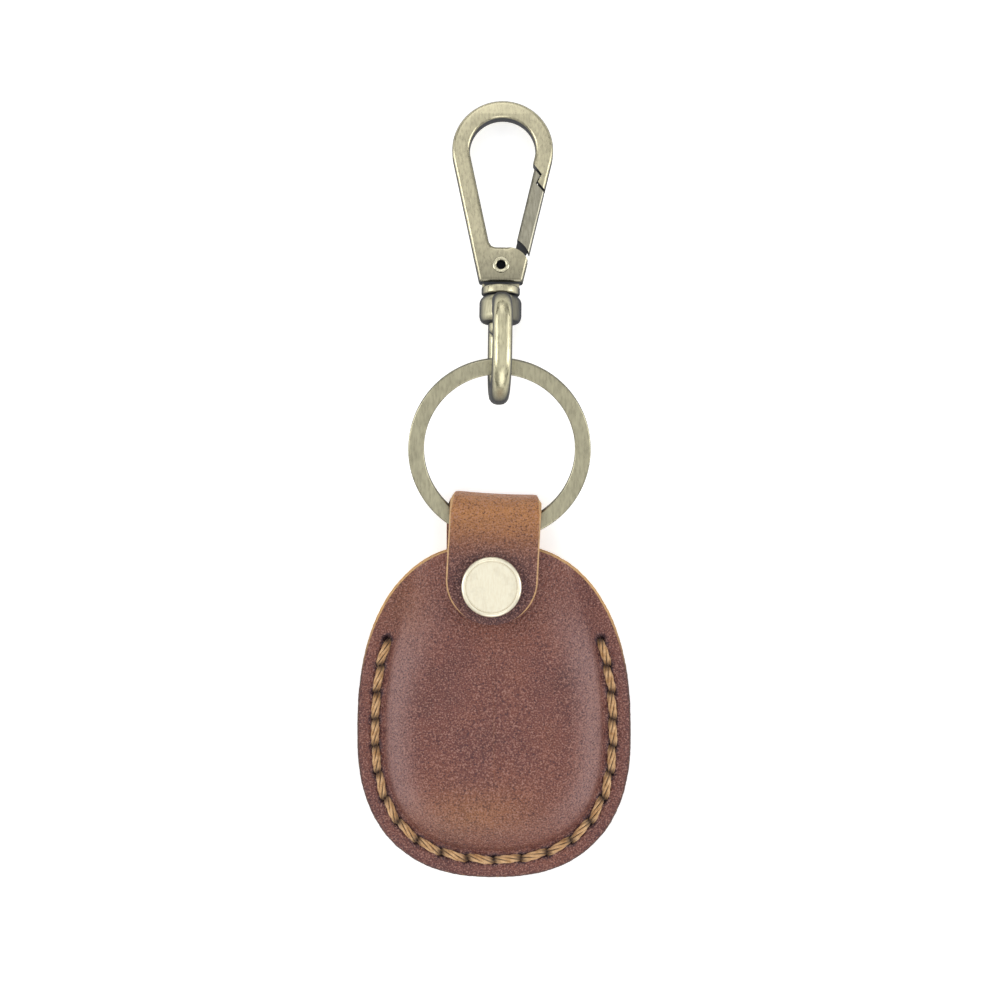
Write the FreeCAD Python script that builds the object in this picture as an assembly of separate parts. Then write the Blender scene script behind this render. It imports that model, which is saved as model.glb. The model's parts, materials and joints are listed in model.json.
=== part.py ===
import FreeCAD, Part
import math
import os

from FreeCAD import Placement, Rotation, Vector

# A leather guitar pick holder on a key ring and a swivel snap hook, lying on its back.
# Millimetres and degrees. +X is across the pouch, +Y runs from the pouch to the hook, and
# +Z is up, out of the pouch's front. The origin is the centre of the pouch's flat back.

# Leather pouch: an egg outline, blunter than an ellipse
HALF_WIDTH = 22.6
UPPER_LENGTH = 31.5
LOWER_LENGTH = 23.7
WIDEST_Y = (LOWER_LENGTH - UPPER_LENGTH) / 2
BLUNTNESS = 2.4
LEATHER = 1.5
OUTLINE_POINTS = 64

# The front leaf is moulded over the picks: an open-topped bulge inside a flat sewn rim
POCKET_DEPTH = 4.7
POCKET_TOP_EXTRA = 14.0
POCKET_TAPER = 0.2
BULGE_FOOT_INSET = 4.4
BULGE_SLOPE_WIDTH = 5.2
WALL_SHIFT = 1.3
RIM_TOP = 2 * LEATHER
LEAF_TOP = LEATHER + POCKET_DEPTH + LEATHER

# Saddle stitching round the lower edge
STITCH_INSET = 3.0
STITCH_COUNT = 22
STITCH_TOP_Y = 11.8
THREAD_WIDTH = 1.1
THREAD_HEIGHT = 0.7
STITCH_GAP = 0.5
STITCH_HOLE_RADIUS = 0.65
THREAD_LEG_RADIUS = 0.5
BACK_GROOVE_DEPTH = 0.75
BACK_GROOVE_WIDTH = 1.5

# Strap: the back leaf's tongue, folded over the key ring and snapped to the front
STRAP_WIDTH = 15.0
STRAP_END_Y = 14.2
FOLD_TOP_Y = 35.8
FOLD_INNER_RADIUS = 2.8
STRAP_LEAN = -3.0
HINGE_GAP = 0.1

# Snap fastener
SNAP_X = -0.4
SNAP_Y = 20.5
SNAP_CAP_RADIUS = 4.9
SNAP_CAP_HEIGHT = 1.2
SNAP_RIM = 0.45
SNAP_SHANK_RADIUS = 1.4
STUD_FLANGE_RADIUS = 3.6
STUD_FLANGE = 0.5
STUD_HEIGHT = 1.55
STUD_NECK_RADIUS = 1.2
STUD_HEAD_RADIUS = 1.45
SOCKET_RADIUS = 4.2
SOCKET_HEIGHT = 1.8
SOCKET_BORE_RADIUS = 2.2
SOCKET_WEB = 0.25
SOCKET_GAP = 0.1
SPRING_WIRE_RADIUS = 0.18
POST_FLANGE_RADIUS = 3.4
POST_FLANGE = 0.3
STRAP_UNDERSIDE = LEAF_TOP + STUD_FLANGE + SOCKET_GAP + SOCKET_HEIGHT

# Key ring: a flat split ring of two turns
RING_OUTER_RADIUS = 15.0
RING_INNER_RADIUS = 12.4
RING_MEAN_RADIUS = (RING_OUTER_RADIUS + RING_INNER_RADIUS) / 2
RING_TURN_THICKNESS = 0.95
RING_TURN_GAP = 0.1
RING_CHAMFER = 0.22
RING_STEP_DEG = 20.0
RING_FOLD_POINT = Vector(0.9, 29.5, 2.85)
RING_TILT = 8.4

# Swivel eye, in the chain's own frame: Y along the swivel axis from the bow's centre
EYE_OUTER_RADIUS = 8.0
EYE_INNER_RADIUS = 4.7
EYE_WIDTH = 3.2
EYE_TOP = 9.95
EYE_HOLE_TOP = 5.5
EYE_CORNER_RADIUS = 5.0
EYE_HOLE_CORNER_RADIUS = 2.5
EYE_EDGE_RADIUS = 0.8
EYE_TWIST = 3.5
BOSS_RADIUS = 3.45
BOSS_CHAMFER = 0.6
BOSS_CROWN = 0.9
PIN_RADIUS = 1.3
PIN_CLEARANCE = 0.06
PIN_HEAD_RADIUS = 2.0
PIN_HEAD_HEIGHT = 2.0
PIN_HEAD_CHAMFER = 0.6
PIN_DEPTH_IN_BASE = 1.9
CHAIN_X = 0.95
CHAIN_Y = 58.2
CHAIN_LEAN = -0.8
CHAIN_LIFT = 0.04

# Hook body and gate, in the chain's own frame
HOOK_THICKNESS = 3.5
HOOK_EDGE = 0.5
FLANGE_BOTTOM = 10.05
FLANGE_TOP = 11.45
FLANGE_HALF_WIDTH = 3.15
BASE_HALF_WIDTH = 3.4
CROWN_Y = 34.3
CROWN_OUTER_RADIUS = 8.3
CROWN_INNER_RADIUS = 5.4
MOUTH_BOTTOM_Y = 17.9
GATE_RIVET_Y = 14.9
GATE_RIVET_RADIUS = 1.1
GATE_RIVET_HOLE_RADIUS = 0.75
GATE_RIVET_HOLE_DEPTH = 1.2
GATE_RIVET_HEAD_RADIUS = 1.38
GATE_RIVET_HEAD = 0.2
GATE_HOLE_CLEARANCE = 0.05
GATE_WIDTH = 2.5
GATE_THICKNESS = 2.7
GATE_EDGE = 0.4
GATE_GAP = Vector(-0.32, -0.17, 0)
NOTCH = [(5.27, 31.75), (6.49, 30.2), (5.85, 28.9), (7.12, 27.5)]
TONGUE_THICKNESS = 1.5
TONGUE_CLEARANCE = 0.06
TONGUE_RADIUS = 2.5
CHEEK_RADIUS = 3.55
CHEEK_CENTRE = Vector(1.1, GATE_RIVET_Y - 0.6, 0)
CHEEK_CORNER_Y = GATE_RIVET_Y + 0.8
TONGUE_FOOT_Y = 17.2
GATE_SHOULDER_RADIUS = 5.0
SLOT_FLOOR_Y = 12.1
SLOT_SIDE_GAP = 0.25
GATE_SPRING_WIRE = 0.17
GATE_SPRING_RADIUS = 1.55
GATE_SPRING_TURNS = 1.6
GATE_SPRING_ARCS = 7
GATE_SPRING_POCKET_RADIUS = 1.85
GATE_SPRING_POCKET_DEPTH = 0.95

X_AXIS = Vector(1, 0, 0)
Y_AXIS = Vector(0, 1, 0)
Z_AXIS = Vector(0, 0, 1)
SLACK = 1.0


def signed_power(value, power):
    """A number raised to a power, keeping its sign."""
    return math.copysign(abs(value) ** power, value)


def egg_point(turn, inset, z, extra_top=0.0, taper=0.0):
    """A point of the pouch outline at a part of a turn from +X, moved inwards by inset.

    A longer top and a taper towards it give the pocket's outline, which runs out of the pouch.
    """
    angle = 2 * math.pi * turn
    length = UPPER_LENGTH + extra_top if math.sin(angle) >= 0 else LOWER_LENGTH
    x = HALF_WIDTH * signed_power(math.cos(angle), 2 / BLUNTNESS)
    y = length * signed_power(math.sin(angle), 2 / BLUNTNESS)
    normal_x = signed_power(x / HALF_WIDTH, BLUNTNESS - 1) / HALF_WIDTH
    normal_y = signed_power(y / length, BLUNTNESS - 1) / length
    size = math.hypot(normal_x, normal_y)
    x *= 1 - taper * (max(y, 0) / length) ** 2
    x -= inset * normal_x / size
    y -= inset * normal_y / size
    return Vector(x, WIDEST_Y + y, z)


def egg_wire(inset, z, *opening):
    """The outline as one closed curve; opening holds the pocket's longer top and its taper."""
    points = [egg_point(n / OUTLINE_POINTS, inset, z, *opening) for n in range(OUTLINE_POINTS)]
    curve = Part.BSplineCurve()
    curve.interpolate(Points=points, PeriodicFlag=True)
    return Part.Wire(curve.toShape())


def egg_plate(bottom, height):
    """A plate with the pouch's outline."""
    return Part.Face(egg_wire(0, bottom)).extrude(Vector(0, 0, height))


def bulge(shift, bottom, foot, top):
    """The moulded bulge, open past the pouch's top edge; shift moves its walls inwards."""
    slope = [(0.0, 0.0), (0.16, 0.1), (0.5, 0.55), (0.8, 0.9), (1.0, 1.0)]
    inset = BULGE_FOOT_INSET + shift
    opening = (POCKET_TOP_EXTRA, POCKET_TAPER)
    wires = [egg_wire(inset, bottom, *opening)]
    for across, up in slope:
        level = foot + (top - foot) * up
        wires.append(egg_wire(inset + BULGE_SLOPE_WIDTH * across, level, *opening))
    return Part.makeLoft(wires, True, False)


def polygon_face(points):
    """A flat face through the given corners."""
    return Part.Face(Part.makePolygon(list(points) + [points[0]]))


def cylinder(radius, height, bottom):
    """An upright cylinder on the Z axis."""
    return Part.makeCylinder(radius, height, Vector(0, 0, bottom))


def turned(profile):
    """A solid turned about the Z axis from corners given as (radius, height)."""
    face = polygon_face([Vector(radius, 0, height) for radius, height in profile])
    return face.revolve(Vector(0, 0, 0), Z_AXIS, 360)


def at_snap(shape):
    """A snap piece moved from the Z axis to the snap's axis."""
    return shape.translated(Vector(SNAP_X, SNAP_Y, 0))


def lean_strap(shape):
    """A strap piece turned by the strap's lean about the snap's axis."""
    return shape.rotated(Vector(SNAP_X, SNAP_Y, 0), Z_AXIS, STRAP_LEAN)


def stitch_holes():
    """The stitch holes' centres, evenly spaced down one side and up the other."""
    steps = 720
    line = [egg_point(0.5 + n / steps, STITCH_INSET, 0) for n in range(-steps // 4, 3 * steps // 4)]
    sewn = [point for point in line if point.y <= STITCH_TOP_Y]
    lengths = [0.0]
    for here, there in zip(sewn, sewn[1:]):
        lengths.append(lengths[-1] + (there - here).Length)
    pitch = lengths[-1] / STITCH_COUNT
    holes = []
    for number in range(STITCH_COUNT + 1):
        index = min(range(len(sewn)), key=lambda n: abs(lengths[n] - number * pitch))
        holes.append(sewn[index])
    return holes


def stitch_bar(start, end, bottom):
    """One stitch lying between two holes: a flat bar with round ends."""
    along = (end - start).normalize()
    side = Vector(-along.y, along.x, 0) * (THREAD_WIDTH / 2)
    inset = along * STITCH_GAP
    first = start + inset + Vector(0, 0, bottom)
    last = end - inset + Vector(0, 0, bottom)
    bar = polygon_face([first + side, first - side, last - side, last + side])
    bar = bar.extrude(Vector(0, 0, THREAD_HEIGHT))
    ends = [Part.makeCylinder(THREAD_WIDTH / 2, THREAD_HEIGHT, point) for point in (first, last)]
    return bar.multiFuse(ends).removeSplitter()


def front_stitches(holes):
    """The stitches that show on the front, with the thread's legs down through the leaves."""
    leg_length = RIM_TOP + THREAD_HEIGHT - BACK_GROOVE_DEPTH
    bars = []
    for start, end in zip(holes, holes[1:]):
        leg = Part.makeCylinder(THREAD_LEG_RADIUS, leg_length, end + Vector(0, 0, BACK_GROOVE_DEPTH))
        bars.append(stitch_bar(start, end, RIM_TOP).fuse(leg).removeSplitter())
    return Part.makeCompound(bars)


def back_stitches(holes):
    """The stitches in the groove in the pouch's back."""
    return Part.makeCompound([stitch_bar(start, end, 0) for start, end in zip(holes, holes[1:])])


def through_holes(shape, holes):
    """A leaf with the stitch holes punched through it."""
    punches = [Part.makeCylinder(STITCH_HOLE_RADIUS, RIM_TOP + SLACK, point) for point in holes]
    return shape.cut(Part.makeCompound(punches))


def back_groove(holes):
    """The groove that the back stitches lie in."""
    pieces = []
    for start, end in zip(holes, holes[1:]):
        along = (end - start).normalize()
        side = Vector(-along.y, along.x, 0) * (BACK_GROOVE_WIDTH / 2)
        run = polygon_face([start + side, start - side, end - side, end + side])
        pieces.append(run.extrude(Vector(0, 0, BACK_GROOVE_DEPTH)))
        pieces.append(Part.makeCylinder(BACK_GROOVE_WIDTH / 2, BACK_GROOVE_DEPTH, end))
    pieces.append(Part.makeCylinder(BACK_GROOVE_WIDTH / 2, BACK_GROOVE_DEPTH, holes[0]))
    return Part.makeCompound(pieces)


def strap_hinge():
    """The point where the flap bends, on the strap's outer skin at the end of the fold."""
    fold_y = FOLD_TOP_Y - LEATHER - FOLD_INNER_RADIUS
    height = 2 * (LEATHER + FOLD_INNER_RADIUS)
    return Vector(SNAP_X, fold_y - HINGE_GAP, height)


def back_leaf(holes):
    """The back leaf, with the strap's rear leg and its fold over the key ring."""
    fold_y = FOLD_TOP_Y - LEATHER - FOLD_INNER_RADIUS
    outer = FOLD_INNER_RADIUS + LEATHER
    left = SNAP_X - STRAP_WIDTH / 2
    tongue = Part.makeBox(STRAP_WIDTH, fold_y - SNAP_Y, LEATHER, Vector(left, SNAP_Y, 0))
    centre = Vector(left, fold_y, outer)
    fold = Part.makeCylinder(outer, STRAP_WIDTH, centre, X_AXIS)
    fold = fold.cut(Part.makeCylinder(FOLD_INNER_RADIUS, STRAP_WIDTH, centre, X_AXIS))
    ahead = Part.makeBox(STRAP_WIDTH, 2 * outer, 2 * outer, Vector(left, fold_y, 0))
    strap = lean_strap(tongue.fuse(fold.common(ahead)))
    leaf = egg_plate(0, LEATHER).fuse(strap).removeSplitter()
    return through_holes(leaf.cut(back_groove(holes)), holes)


def front_leaf(holes):
    """The moulded front leaf, open at the top, with the hole for the snap's post."""
    envelope = egg_plate(LEATHER, POCKET_DEPTH + SLACK * 3)
    outside = bulge(0, LEATHER + LEATHER / 2, RIM_TOP, LEAF_TOP).common(envelope)
    rim = egg_plate(LEATHER, LEATHER)
    hollow = bulge(WALL_SHIFT, LEATHER / 2, LEATHER, LEATHER + POCKET_DEPTH)
    leaf = rim.fuse(outside).cut(hollow)
    leaf = leaf.cut(at_snap(cylinder(SNAP_SHANK_RADIUS, LEAF_TOP, LEATHER)))
    return through_holes(leaf, holes)


def strap_flap():
    """The strap's front leg: it rises from the fold to the snap, and its end is round."""
    hinge = strap_hinge()
    top = STRAP_UNDERSIDE + LEATHER
    top_knee = Vector(SNAP_X, SNAP_Y + SOCKET_RADIUS + LEATHER, top)
    rise = math.atan2(top - hinge.z, hinge.y - top_knee.y)
    low_knee = Vector(SNAP_X, top_knee.y - LEATHER * math.tan(rise / 2), STRAP_UNDERSIDE)
    start_low = hinge - Vector(0, 0, LEATHER / math.cos(rise))
    side = polygon_face([
        hinge,
        top_knee,
        Vector(SNAP_X, STRAP_END_Y, top),
        Vector(SNAP_X, STRAP_END_Y, STRAP_UNDERSIDE),
        low_knee,
        start_low,
    ]).translated(Vector(-STRAP_WIDTH / 2, 0, 0))
    bar = side.extrude(Vector(STRAP_WIDTH, 0, 0))
    radius = STRAP_WIDTH / 2
    left = SNAP_X - radius
    outline = Part.makeBox(
        STRAP_WIDTH, FOLD_TOP_Y - STRAP_END_Y - radius, 2 * LEAF_TOP, Vector(left, STRAP_END_Y + radius, 0)
    )
    round_end = Part.makeCylinder(radius, 2 * LEAF_TOP, Vector(SNAP_X, STRAP_END_Y + radius, 0))
    flap = bar.common(outline.fuse(round_end))
    flap = flap.cut(at_snap(cylinder(SNAP_SHANK_RADIUS, 2 * LEAF_TOP, 0)))
    return lean_strap(flap)


def snap_cap():
    """The snap's cap: a low dome with a rolled rim, and the shank through the flap."""
    base = STRAP_UNDERSIDE + LEATHER
    top = base + SNAP_CAP_HEIGHT
    shank_end = STRAP_UNDERSIDE - SOCKET_WEB
    profile = [
        (0, top),
        (SNAP_CAP_RADIUS * 0.55, top - 0.06),
        (SNAP_CAP_RADIUS - SNAP_RIM * 1.6, top - 0.28),
        (SNAP_CAP_RADIUS - SNAP_RIM * 0.6, top - 0.5),
        (SNAP_CAP_RADIUS, base + SNAP_RIM),
        (SNAP_CAP_RADIUS - SNAP_RIM * 0.3, base),
        (SNAP_SHANK_RADIUS, base),
        (SNAP_SHANK_RADIUS, shank_end),
        (0, shank_end),
    ]
    return at_snap(turned(profile))


def snap_socket():
    """The socket under the flap, with a bore for the stud and a web round the cap's shank."""
    bottom = STRAP_UNDERSIDE - SOCKET_HEIGHT
    web = STRAP_UNDERSIDE - SOCKET_WEB
    profile = [
        (SOCKET_BORE_RADIUS, bottom),
        (SOCKET_BORE_RADIUS + 0.9, bottom),
        (SOCKET_RADIUS - 0.3, bottom + 0.9),
        (SOCKET_RADIUS, bottom + 1.2),
        (SOCKET_RADIUS, STRAP_UNDERSIDE),
        (SNAP_SHANK_RADIUS, STRAP_UNDERSIDE),
        (SNAP_SHANK_RADIUS, web),
        (SOCKET_BORE_RADIUS, web),
    ]
    return at_snap(turned(profile))


def snap_spring():
    """The open wire ring that lies in the socket's bore and grips the stud."""
    radius = SOCKET_BORE_RADIUS - SPRING_WIRE_RADIUS - 0.03
    height = STRAP_UNDERSIDE - SOCKET_HEIGHT / 2
    wire = Part.makeTorus(radius, SPRING_WIRE_RADIUS, Vector(0, 0, height), Z_AXIS)
    opening = Part.makeBox(SOCKET_RADIUS, 1.2, 1.2, Vector(0, -0.6, height - 0.6))
    return at_snap(wire.cut(opening))


def snap_stud():
    """The stud on the front leaf, hollow for the post's shank."""
    base = LEAF_TOP
    flange = base + STUD_FLANGE
    top = flange + STUD_HEIGHT - SOCKET_WEB
    bore = SNAP_SHANK_RADIUS - 0.5
    profile = [
        (bore, base),
        (STUD_FLANGE_RADIUS, base),
        (STUD_FLANGE_RADIUS, flange - 0.15),
        (STUD_FLANGE_RADIUS - 0.3, flange),
        (STUD_NECK_RADIUS, flange),
        (STUD_HEAD_RADIUS, flange + 0.55),
        (STUD_HEAD_RADIUS, top - 0.35),
        (STUD_HEAD_RADIUS - 0.35, top),
        (0, top),
        (0, flange + 0.5),
        (bore, flange + 0.5),
    ]
    return at_snap(turned(profile))


def snap_post():
    """The post that holds the stud: a flange in the pocket and a shank up through the leaf."""
    ceiling = LEATHER + POCKET_DEPTH
    bore = SNAP_SHANK_RADIUS - 0.5
    profile = [
        (0, ceiling - POST_FLANGE),
        (POST_FLANGE_RADIUS - 0.1, ceiling - POST_FLANGE),
        (POST_FLANGE_RADIUS, ceiling),
        (SNAP_SHANK_RADIUS, ceiling),
        (SNAP_SHANK_RADIUS, LEAF_TOP),
        (bore, LEAF_TOP),
        (bore, LEAF_TOP + STUD_FLANGE + 0.5),
        (0, LEAF_TOP + STUD_FLANGE + 0.5),
    ]
    return at_snap(turned(profile))


def ring_section(level, angle):
    """The key ring's flat wire, with its corners taken off, at an angle round the ring."""
    inner, outer, cut = RING_INNER_RADIUS, RING_OUTER_RADIUS, RING_CHAMFER
    low, high = level, level + RING_TURN_THICKNESS
    corners = [
        (inner + cut, low), (outer - cut, low), (outer, low + cut), (outer, high - cut),
        (outer - cut, high), (inner + cut, high), (inner, high - cut), (inner, low + cut),
    ]
    away = math.radians(angle)
    direction = Vector(math.cos(away), math.sin(away), 0)
    points = [direction * radius + Vector(0, 0, height) for radius, height in corners]
    return Part.makePolygon(points + [points[0]])


def key_ring():
    """A split ring: two flat turns, one on the other, joined by a step inside the fold."""
    start = -90 + RING_STEP_DEG / 2
    low = -RING_TURN_GAP / 2 - RING_TURN_THICKNESS
    high = RING_TURN_GAP / 2
    turns = []
    for level in (low, high):
        face = Part.Face(ring_section(level, start))
        turns.append(face.revolve(Vector(0, 0, 0), Z_AXIS, 360 - RING_STEP_DEG))
    parts = 4
    sections = []
    for number in range(parts + 1):
        share = number / parts
        ease = share * share * (3 - 2 * share)
        sections.append(ring_section(low + (high - low) * ease, start - RING_STEP_DEG * (1 - share)))
    step = Part.makeLoft(sections, True, True)
    return turns[0].multiFuse([step, turns[1]]).removeSplitter()


def ring_placement():
    """Where the key ring lies: its lower side in the fold, its upper side in the eye."""
    tilt = Rotation(X_AXIS, RING_TILT)
    centre = RING_FOLD_POINT + tilt.multVec(Vector(0, RING_MEAN_RADIUS, 0))
    return Placement(centre, tilt)


def chain_tilt():
    """How far the swivel axis dips, in radians, so that the eye and the crown both touch down."""
    half = HOOK_THICKNESS / 2
    corner_y = EYE_TOP - EYE_CORNER_RADIUS
    corner_depth = EYE_OUTER_RADIUS - EYE_CORNER_RADIUS
    run = CROWN_Y + CROWN_OUTER_RADIUS - HOOK_EDGE - corner_y
    rise = corner_depth - half
    return math.asin(EYE_CORNER_RADIUS / math.hypot(run, rise)) + math.atan2(rise, run)


def chain_placement():
    """The chain's own frame: origin at the bow's centre, Y along the swivel axis."""
    tilt = chain_tilt()
    corner_y = EYE_TOP - EYE_CORNER_RADIUS
    corner_depth = EYE_OUTER_RADIUS - EYE_CORNER_RADIUS
    height = corner_depth * math.cos(tilt) + corner_y * math.sin(tilt) + EYE_CORNER_RADIUS + CHAIN_LIFT
    turn = Rotation(Z_AXIS, CHAIN_LEAN).multiply(Rotation(X_AXIS, -math.degrees(tilt)))
    return Placement(Vector(CHAIN_X, CHAIN_Y, height), turn)


def placed(shape, placement):
    """A copy of a shape moved rigidly to a placement."""
    copy = shape.copy()
    copy.transformShape(placement.toMatrix(), False)
    return copy


def eye_loop(radius, top, corner, bottom_centre_y):
    """A face in the YZ plane: a half-round bow below, straight arms, and round top corners."""
    arm = top - corner
    slant = corner * math.sqrt(0.5)
    edges = [
        Part.Arc(
            Vector(0, bottom_centre_y, radius),
            Vector(0, bottom_centre_y - radius, 0),
            Vector(0, bottom_centre_y, -radius),
        ).toShape(),
        Part.LineSegment(Vector(0, bottom_centre_y, -radius), Vector(0, arm, -radius)).toShape(),
        Part.Arc(
            Vector(0, arm, -radius),
            Vector(0, arm + slant, corner - radius - slant),
            Vector(0, top, corner - radius),
        ).toShape(),
        Part.LineSegment(Vector(0, top, corner - radius), Vector(0, top, radius - corner)).toShape(),
        Part.Arc(
            Vector(0, top, radius - corner),
            Vector(0, arm + slant, radius - corner + slant),
            Vector(0, arm, radius),
        ).toShape(),
        Part.LineSegment(Vector(0, arm, radius), Vector(0, bottom_centre_y, radius)).toShape(),
    ]
    return Part.Face(Part.Wire(edges))


def swivel_eye():
    """The eye: a flat bow with rounded edges, and a boss bored for the swivel pin."""
    outer = eye_loop(EYE_OUTER_RADIUS, EYE_TOP, EYE_CORNER_RADIUS, 0)
    inner = eye_loop(EYE_INNER_RADIUS, EYE_HOLE_TOP, EYE_HOLE_CORNER_RADIUS, 0)
    bow = outer.cut(inner).extrude(Vector(EYE_WIDTH, 0, 0)).translated(Vector(-EYE_WIDTH / 2, 0, 0))
    flat_edges = [edge for edge in bow.Edges if abs(edge.BoundBox.XLength) < EYE_EDGE_RADIUS]
    bow = bow.makeFillet(EYE_EDGE_RADIUS, flat_edges)
    profile = [
        (0, EYE_HOLE_TOP),
        (BOSS_RADIUS - BOSS_CHAMFER, EYE_HOLE_TOP),
        (BOSS_RADIUS, EYE_HOLE_TOP + BOSS_CHAMFER),
        (BOSS_RADIUS, EYE_TOP - BOSS_CROWN),
        (BOSS_RADIUS - BOSS_CROWN * 0.4, EYE_TOP - BOSS_CROWN * 0.35),
        (BOSS_RADIUS - BOSS_CROWN, EYE_TOP),
        (0, EYE_TOP),
    ]
    boss = along_chain(turned(profile))
    bore = Part.makeCylinder(PIN_RADIUS + PIN_CLEARANCE, EYE_TOP, Vector(0, 1, 0), Y_AXIS)
    eye = bow.fuse(boss).cut(bore).removeSplitter()
    return eye.rotated(Vector(0, 0, 0), Y_AXIS, EYE_TWIST)


def along_chain(shape):
    """A solid turned about Z laid down so that its axis is the swivel axis."""
    return shape.rotated(Vector(0, 0, 0), X_AXIS, -90)


def swivel_pin():
    """The pin fixed in the hook's base, with its end peened over under the boss."""
    head_top = EYE_HOLE_TOP - PIN_CLEARANCE
    head_bottom = head_top - PIN_HEAD_HEIGHT
    end = FLANGE_BOTTOM + PIN_DEPTH_IN_BASE
    profile = [
        (0, head_bottom),
        (PIN_HEAD_RADIUS - PIN_HEAD_CHAMFER, head_bottom),
        (PIN_HEAD_RADIUS, head_bottom + PIN_HEAD_CHAMFER),
        (PIN_HEAD_RADIUS, head_top),
        (PIN_RADIUS, head_top),
        (PIN_RADIUS, end),
        (0, end),
    ]
    return along_chain(turned(profile))


def bar_slope():
    """The angle, in radians, by which each side bar leans in towards the base."""
    run = CROWN_Y - FLANGE_TOP
    angle = 0.0
    for _ in range(20):
        angle = math.asin((CROWN_OUTER_RADIUS - BASE_HALF_WIDTH * math.cos(angle)) / run)
    return angle


def bar_edge(radius, y):
    """Half the hook's width at a place along it, on the tangent of a crown circle."""
    slope = bar_slope()
    return (radius - (CROWN_Y - y) * math.sin(slope)) / math.cos(slope)


def teardrop(radius, bottom_y):
    """A face in the XY plane: the crown's arc with straight sides running in to the bottom."""
    slope = bar_slope()
    touch_x = radius * math.cos(slope)
    touch_y = CROWN_Y - radius * math.sin(slope)
    half = bar_edge(radius, bottom_y)
    right = Vector(touch_x, touch_y, 0)
    left = Vector(-touch_x, touch_y, 0)
    edges = [
        Part.Arc(right, Vector(0, CROWN_Y + radius, 0), left).toShape(),
        Part.LineSegment(left, Vector(-half, bottom_y, 0)).toShape(),
        Part.LineSegment(Vector(-half, bottom_y, 0), Vector(half, bottom_y, 0)).toShape(),
        Part.LineSegment(Vector(half, bottom_y, 0), right).toShape(),
    ]
    return Part.Face(Part.Wire(edges))


def slab(face, thickness):
    """A flat face given a thickness, half on each side of the XY plane."""
    return face.translated(Vector(0, 0, -thickness / 2)).extrude(Vector(0, 0, thickness))


def notch_line(gap):
    """The stepped joint between the nose and the gate, moved by a gap and run on at both ends."""
    line = [Vector(x, y, 0) for x, y in NOTCH]
    first = line[0] + (line[0] - line[1]).normalize() * SLACK
    last = line[-1] + (line[-1] - line[-2]).normalize() * 2 * SLACK
    return [point + gap for point in [first] + line + [last]]


def bore_cutter(centre, radius):
    """A cutter square to the hook's face, longer than the hook is thick."""
    return Part.makeCylinder(radius, 2 * HOOK_THICKNESS, centre - Vector(0, 0, HOOK_THICKNESS))


def gate_region(gap, bottom, centre, radius):
    """The space of the right-hand bar, from the notch down to a level, outside a circle."""
    line = notch_line(gap)
    line += [Vector(CROWN_OUTER_RADIUS + SLACK, bottom, 0), Vector(0, bottom, 0), Vector(0, line[0].y, 0)]
    return slab(polygon_face(line), 2 * HOOK_THICKNESS).cut(bore_cutter(centre, radius))


def softened(shape, size, test):
    """A shape with a chamfer on every edge that passes the test."""
    return shape.makeChamfer(size, [edge for edge in shape.Edges if test(edge)])


def on_face(half):
    """A test for edges that lie in one of the two flat faces."""
    return lambda edge: edge.BoundBox.ZLength < 1e-4 and abs(abs(edge.BoundBox.ZMin) - half) < 1e-4


def hook_body():
    """The hook: spine, crown and nose, two cheeks round the gate's tongue, and the flange."""
    outline = teardrop(CROWN_OUTER_RADIUS, FLANGE_TOP).cut(teardrop(CROWN_INNER_RADIUS, MOUTH_BOTTOM_Y))
    body = softened(slab(outline, HOOK_THICKNESS), HOOK_EDGE, on_face(HOOK_THICKNESS / 2))
    body = body.cut(gate_region(Vector(), CHEEK_CORNER_Y, CHEEK_CENTRE, CHEEK_RADIUS))
    slot_height = TONGUE_THICKNESS + 2 * TONGUE_CLEARANCE
    slot = Part.makeBox(
        2 * CROWN_OUTER_RADIUS, MOUTH_BOTTOM_Y + SLACK - SLOT_FLOOR_Y, slot_height,
        Vector(-TONGUE_RADIUS - SLOT_SIDE_GAP, SLOT_FLOOR_Y, -slot_height / 2),
    )
    body = body.cut(slot)
    flange_foot = Vector(0, FLANGE_BOTTOM, 0)
    flange = Part.makeCylinder(FLANGE_HALF_WIDTH, FLANGE_TOP - FLANGE_BOTTOM, flange_foot, Y_AXIS)
    body = body.fuse(flange)
    pin_hole = Part.makeCylinder(PIN_RADIUS, PIN_DEPTH_IN_BASE, Vector(0, FLANGE_BOTTOM, 0), Y_AXIS)
    rivet_hole = bore_cutter(Vector(0, GATE_RIVET_Y, 0), GATE_RIVET_RADIUS)
    return body.cut(pin_hole).cut(rivet_hole).removeSplitter()


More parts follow.
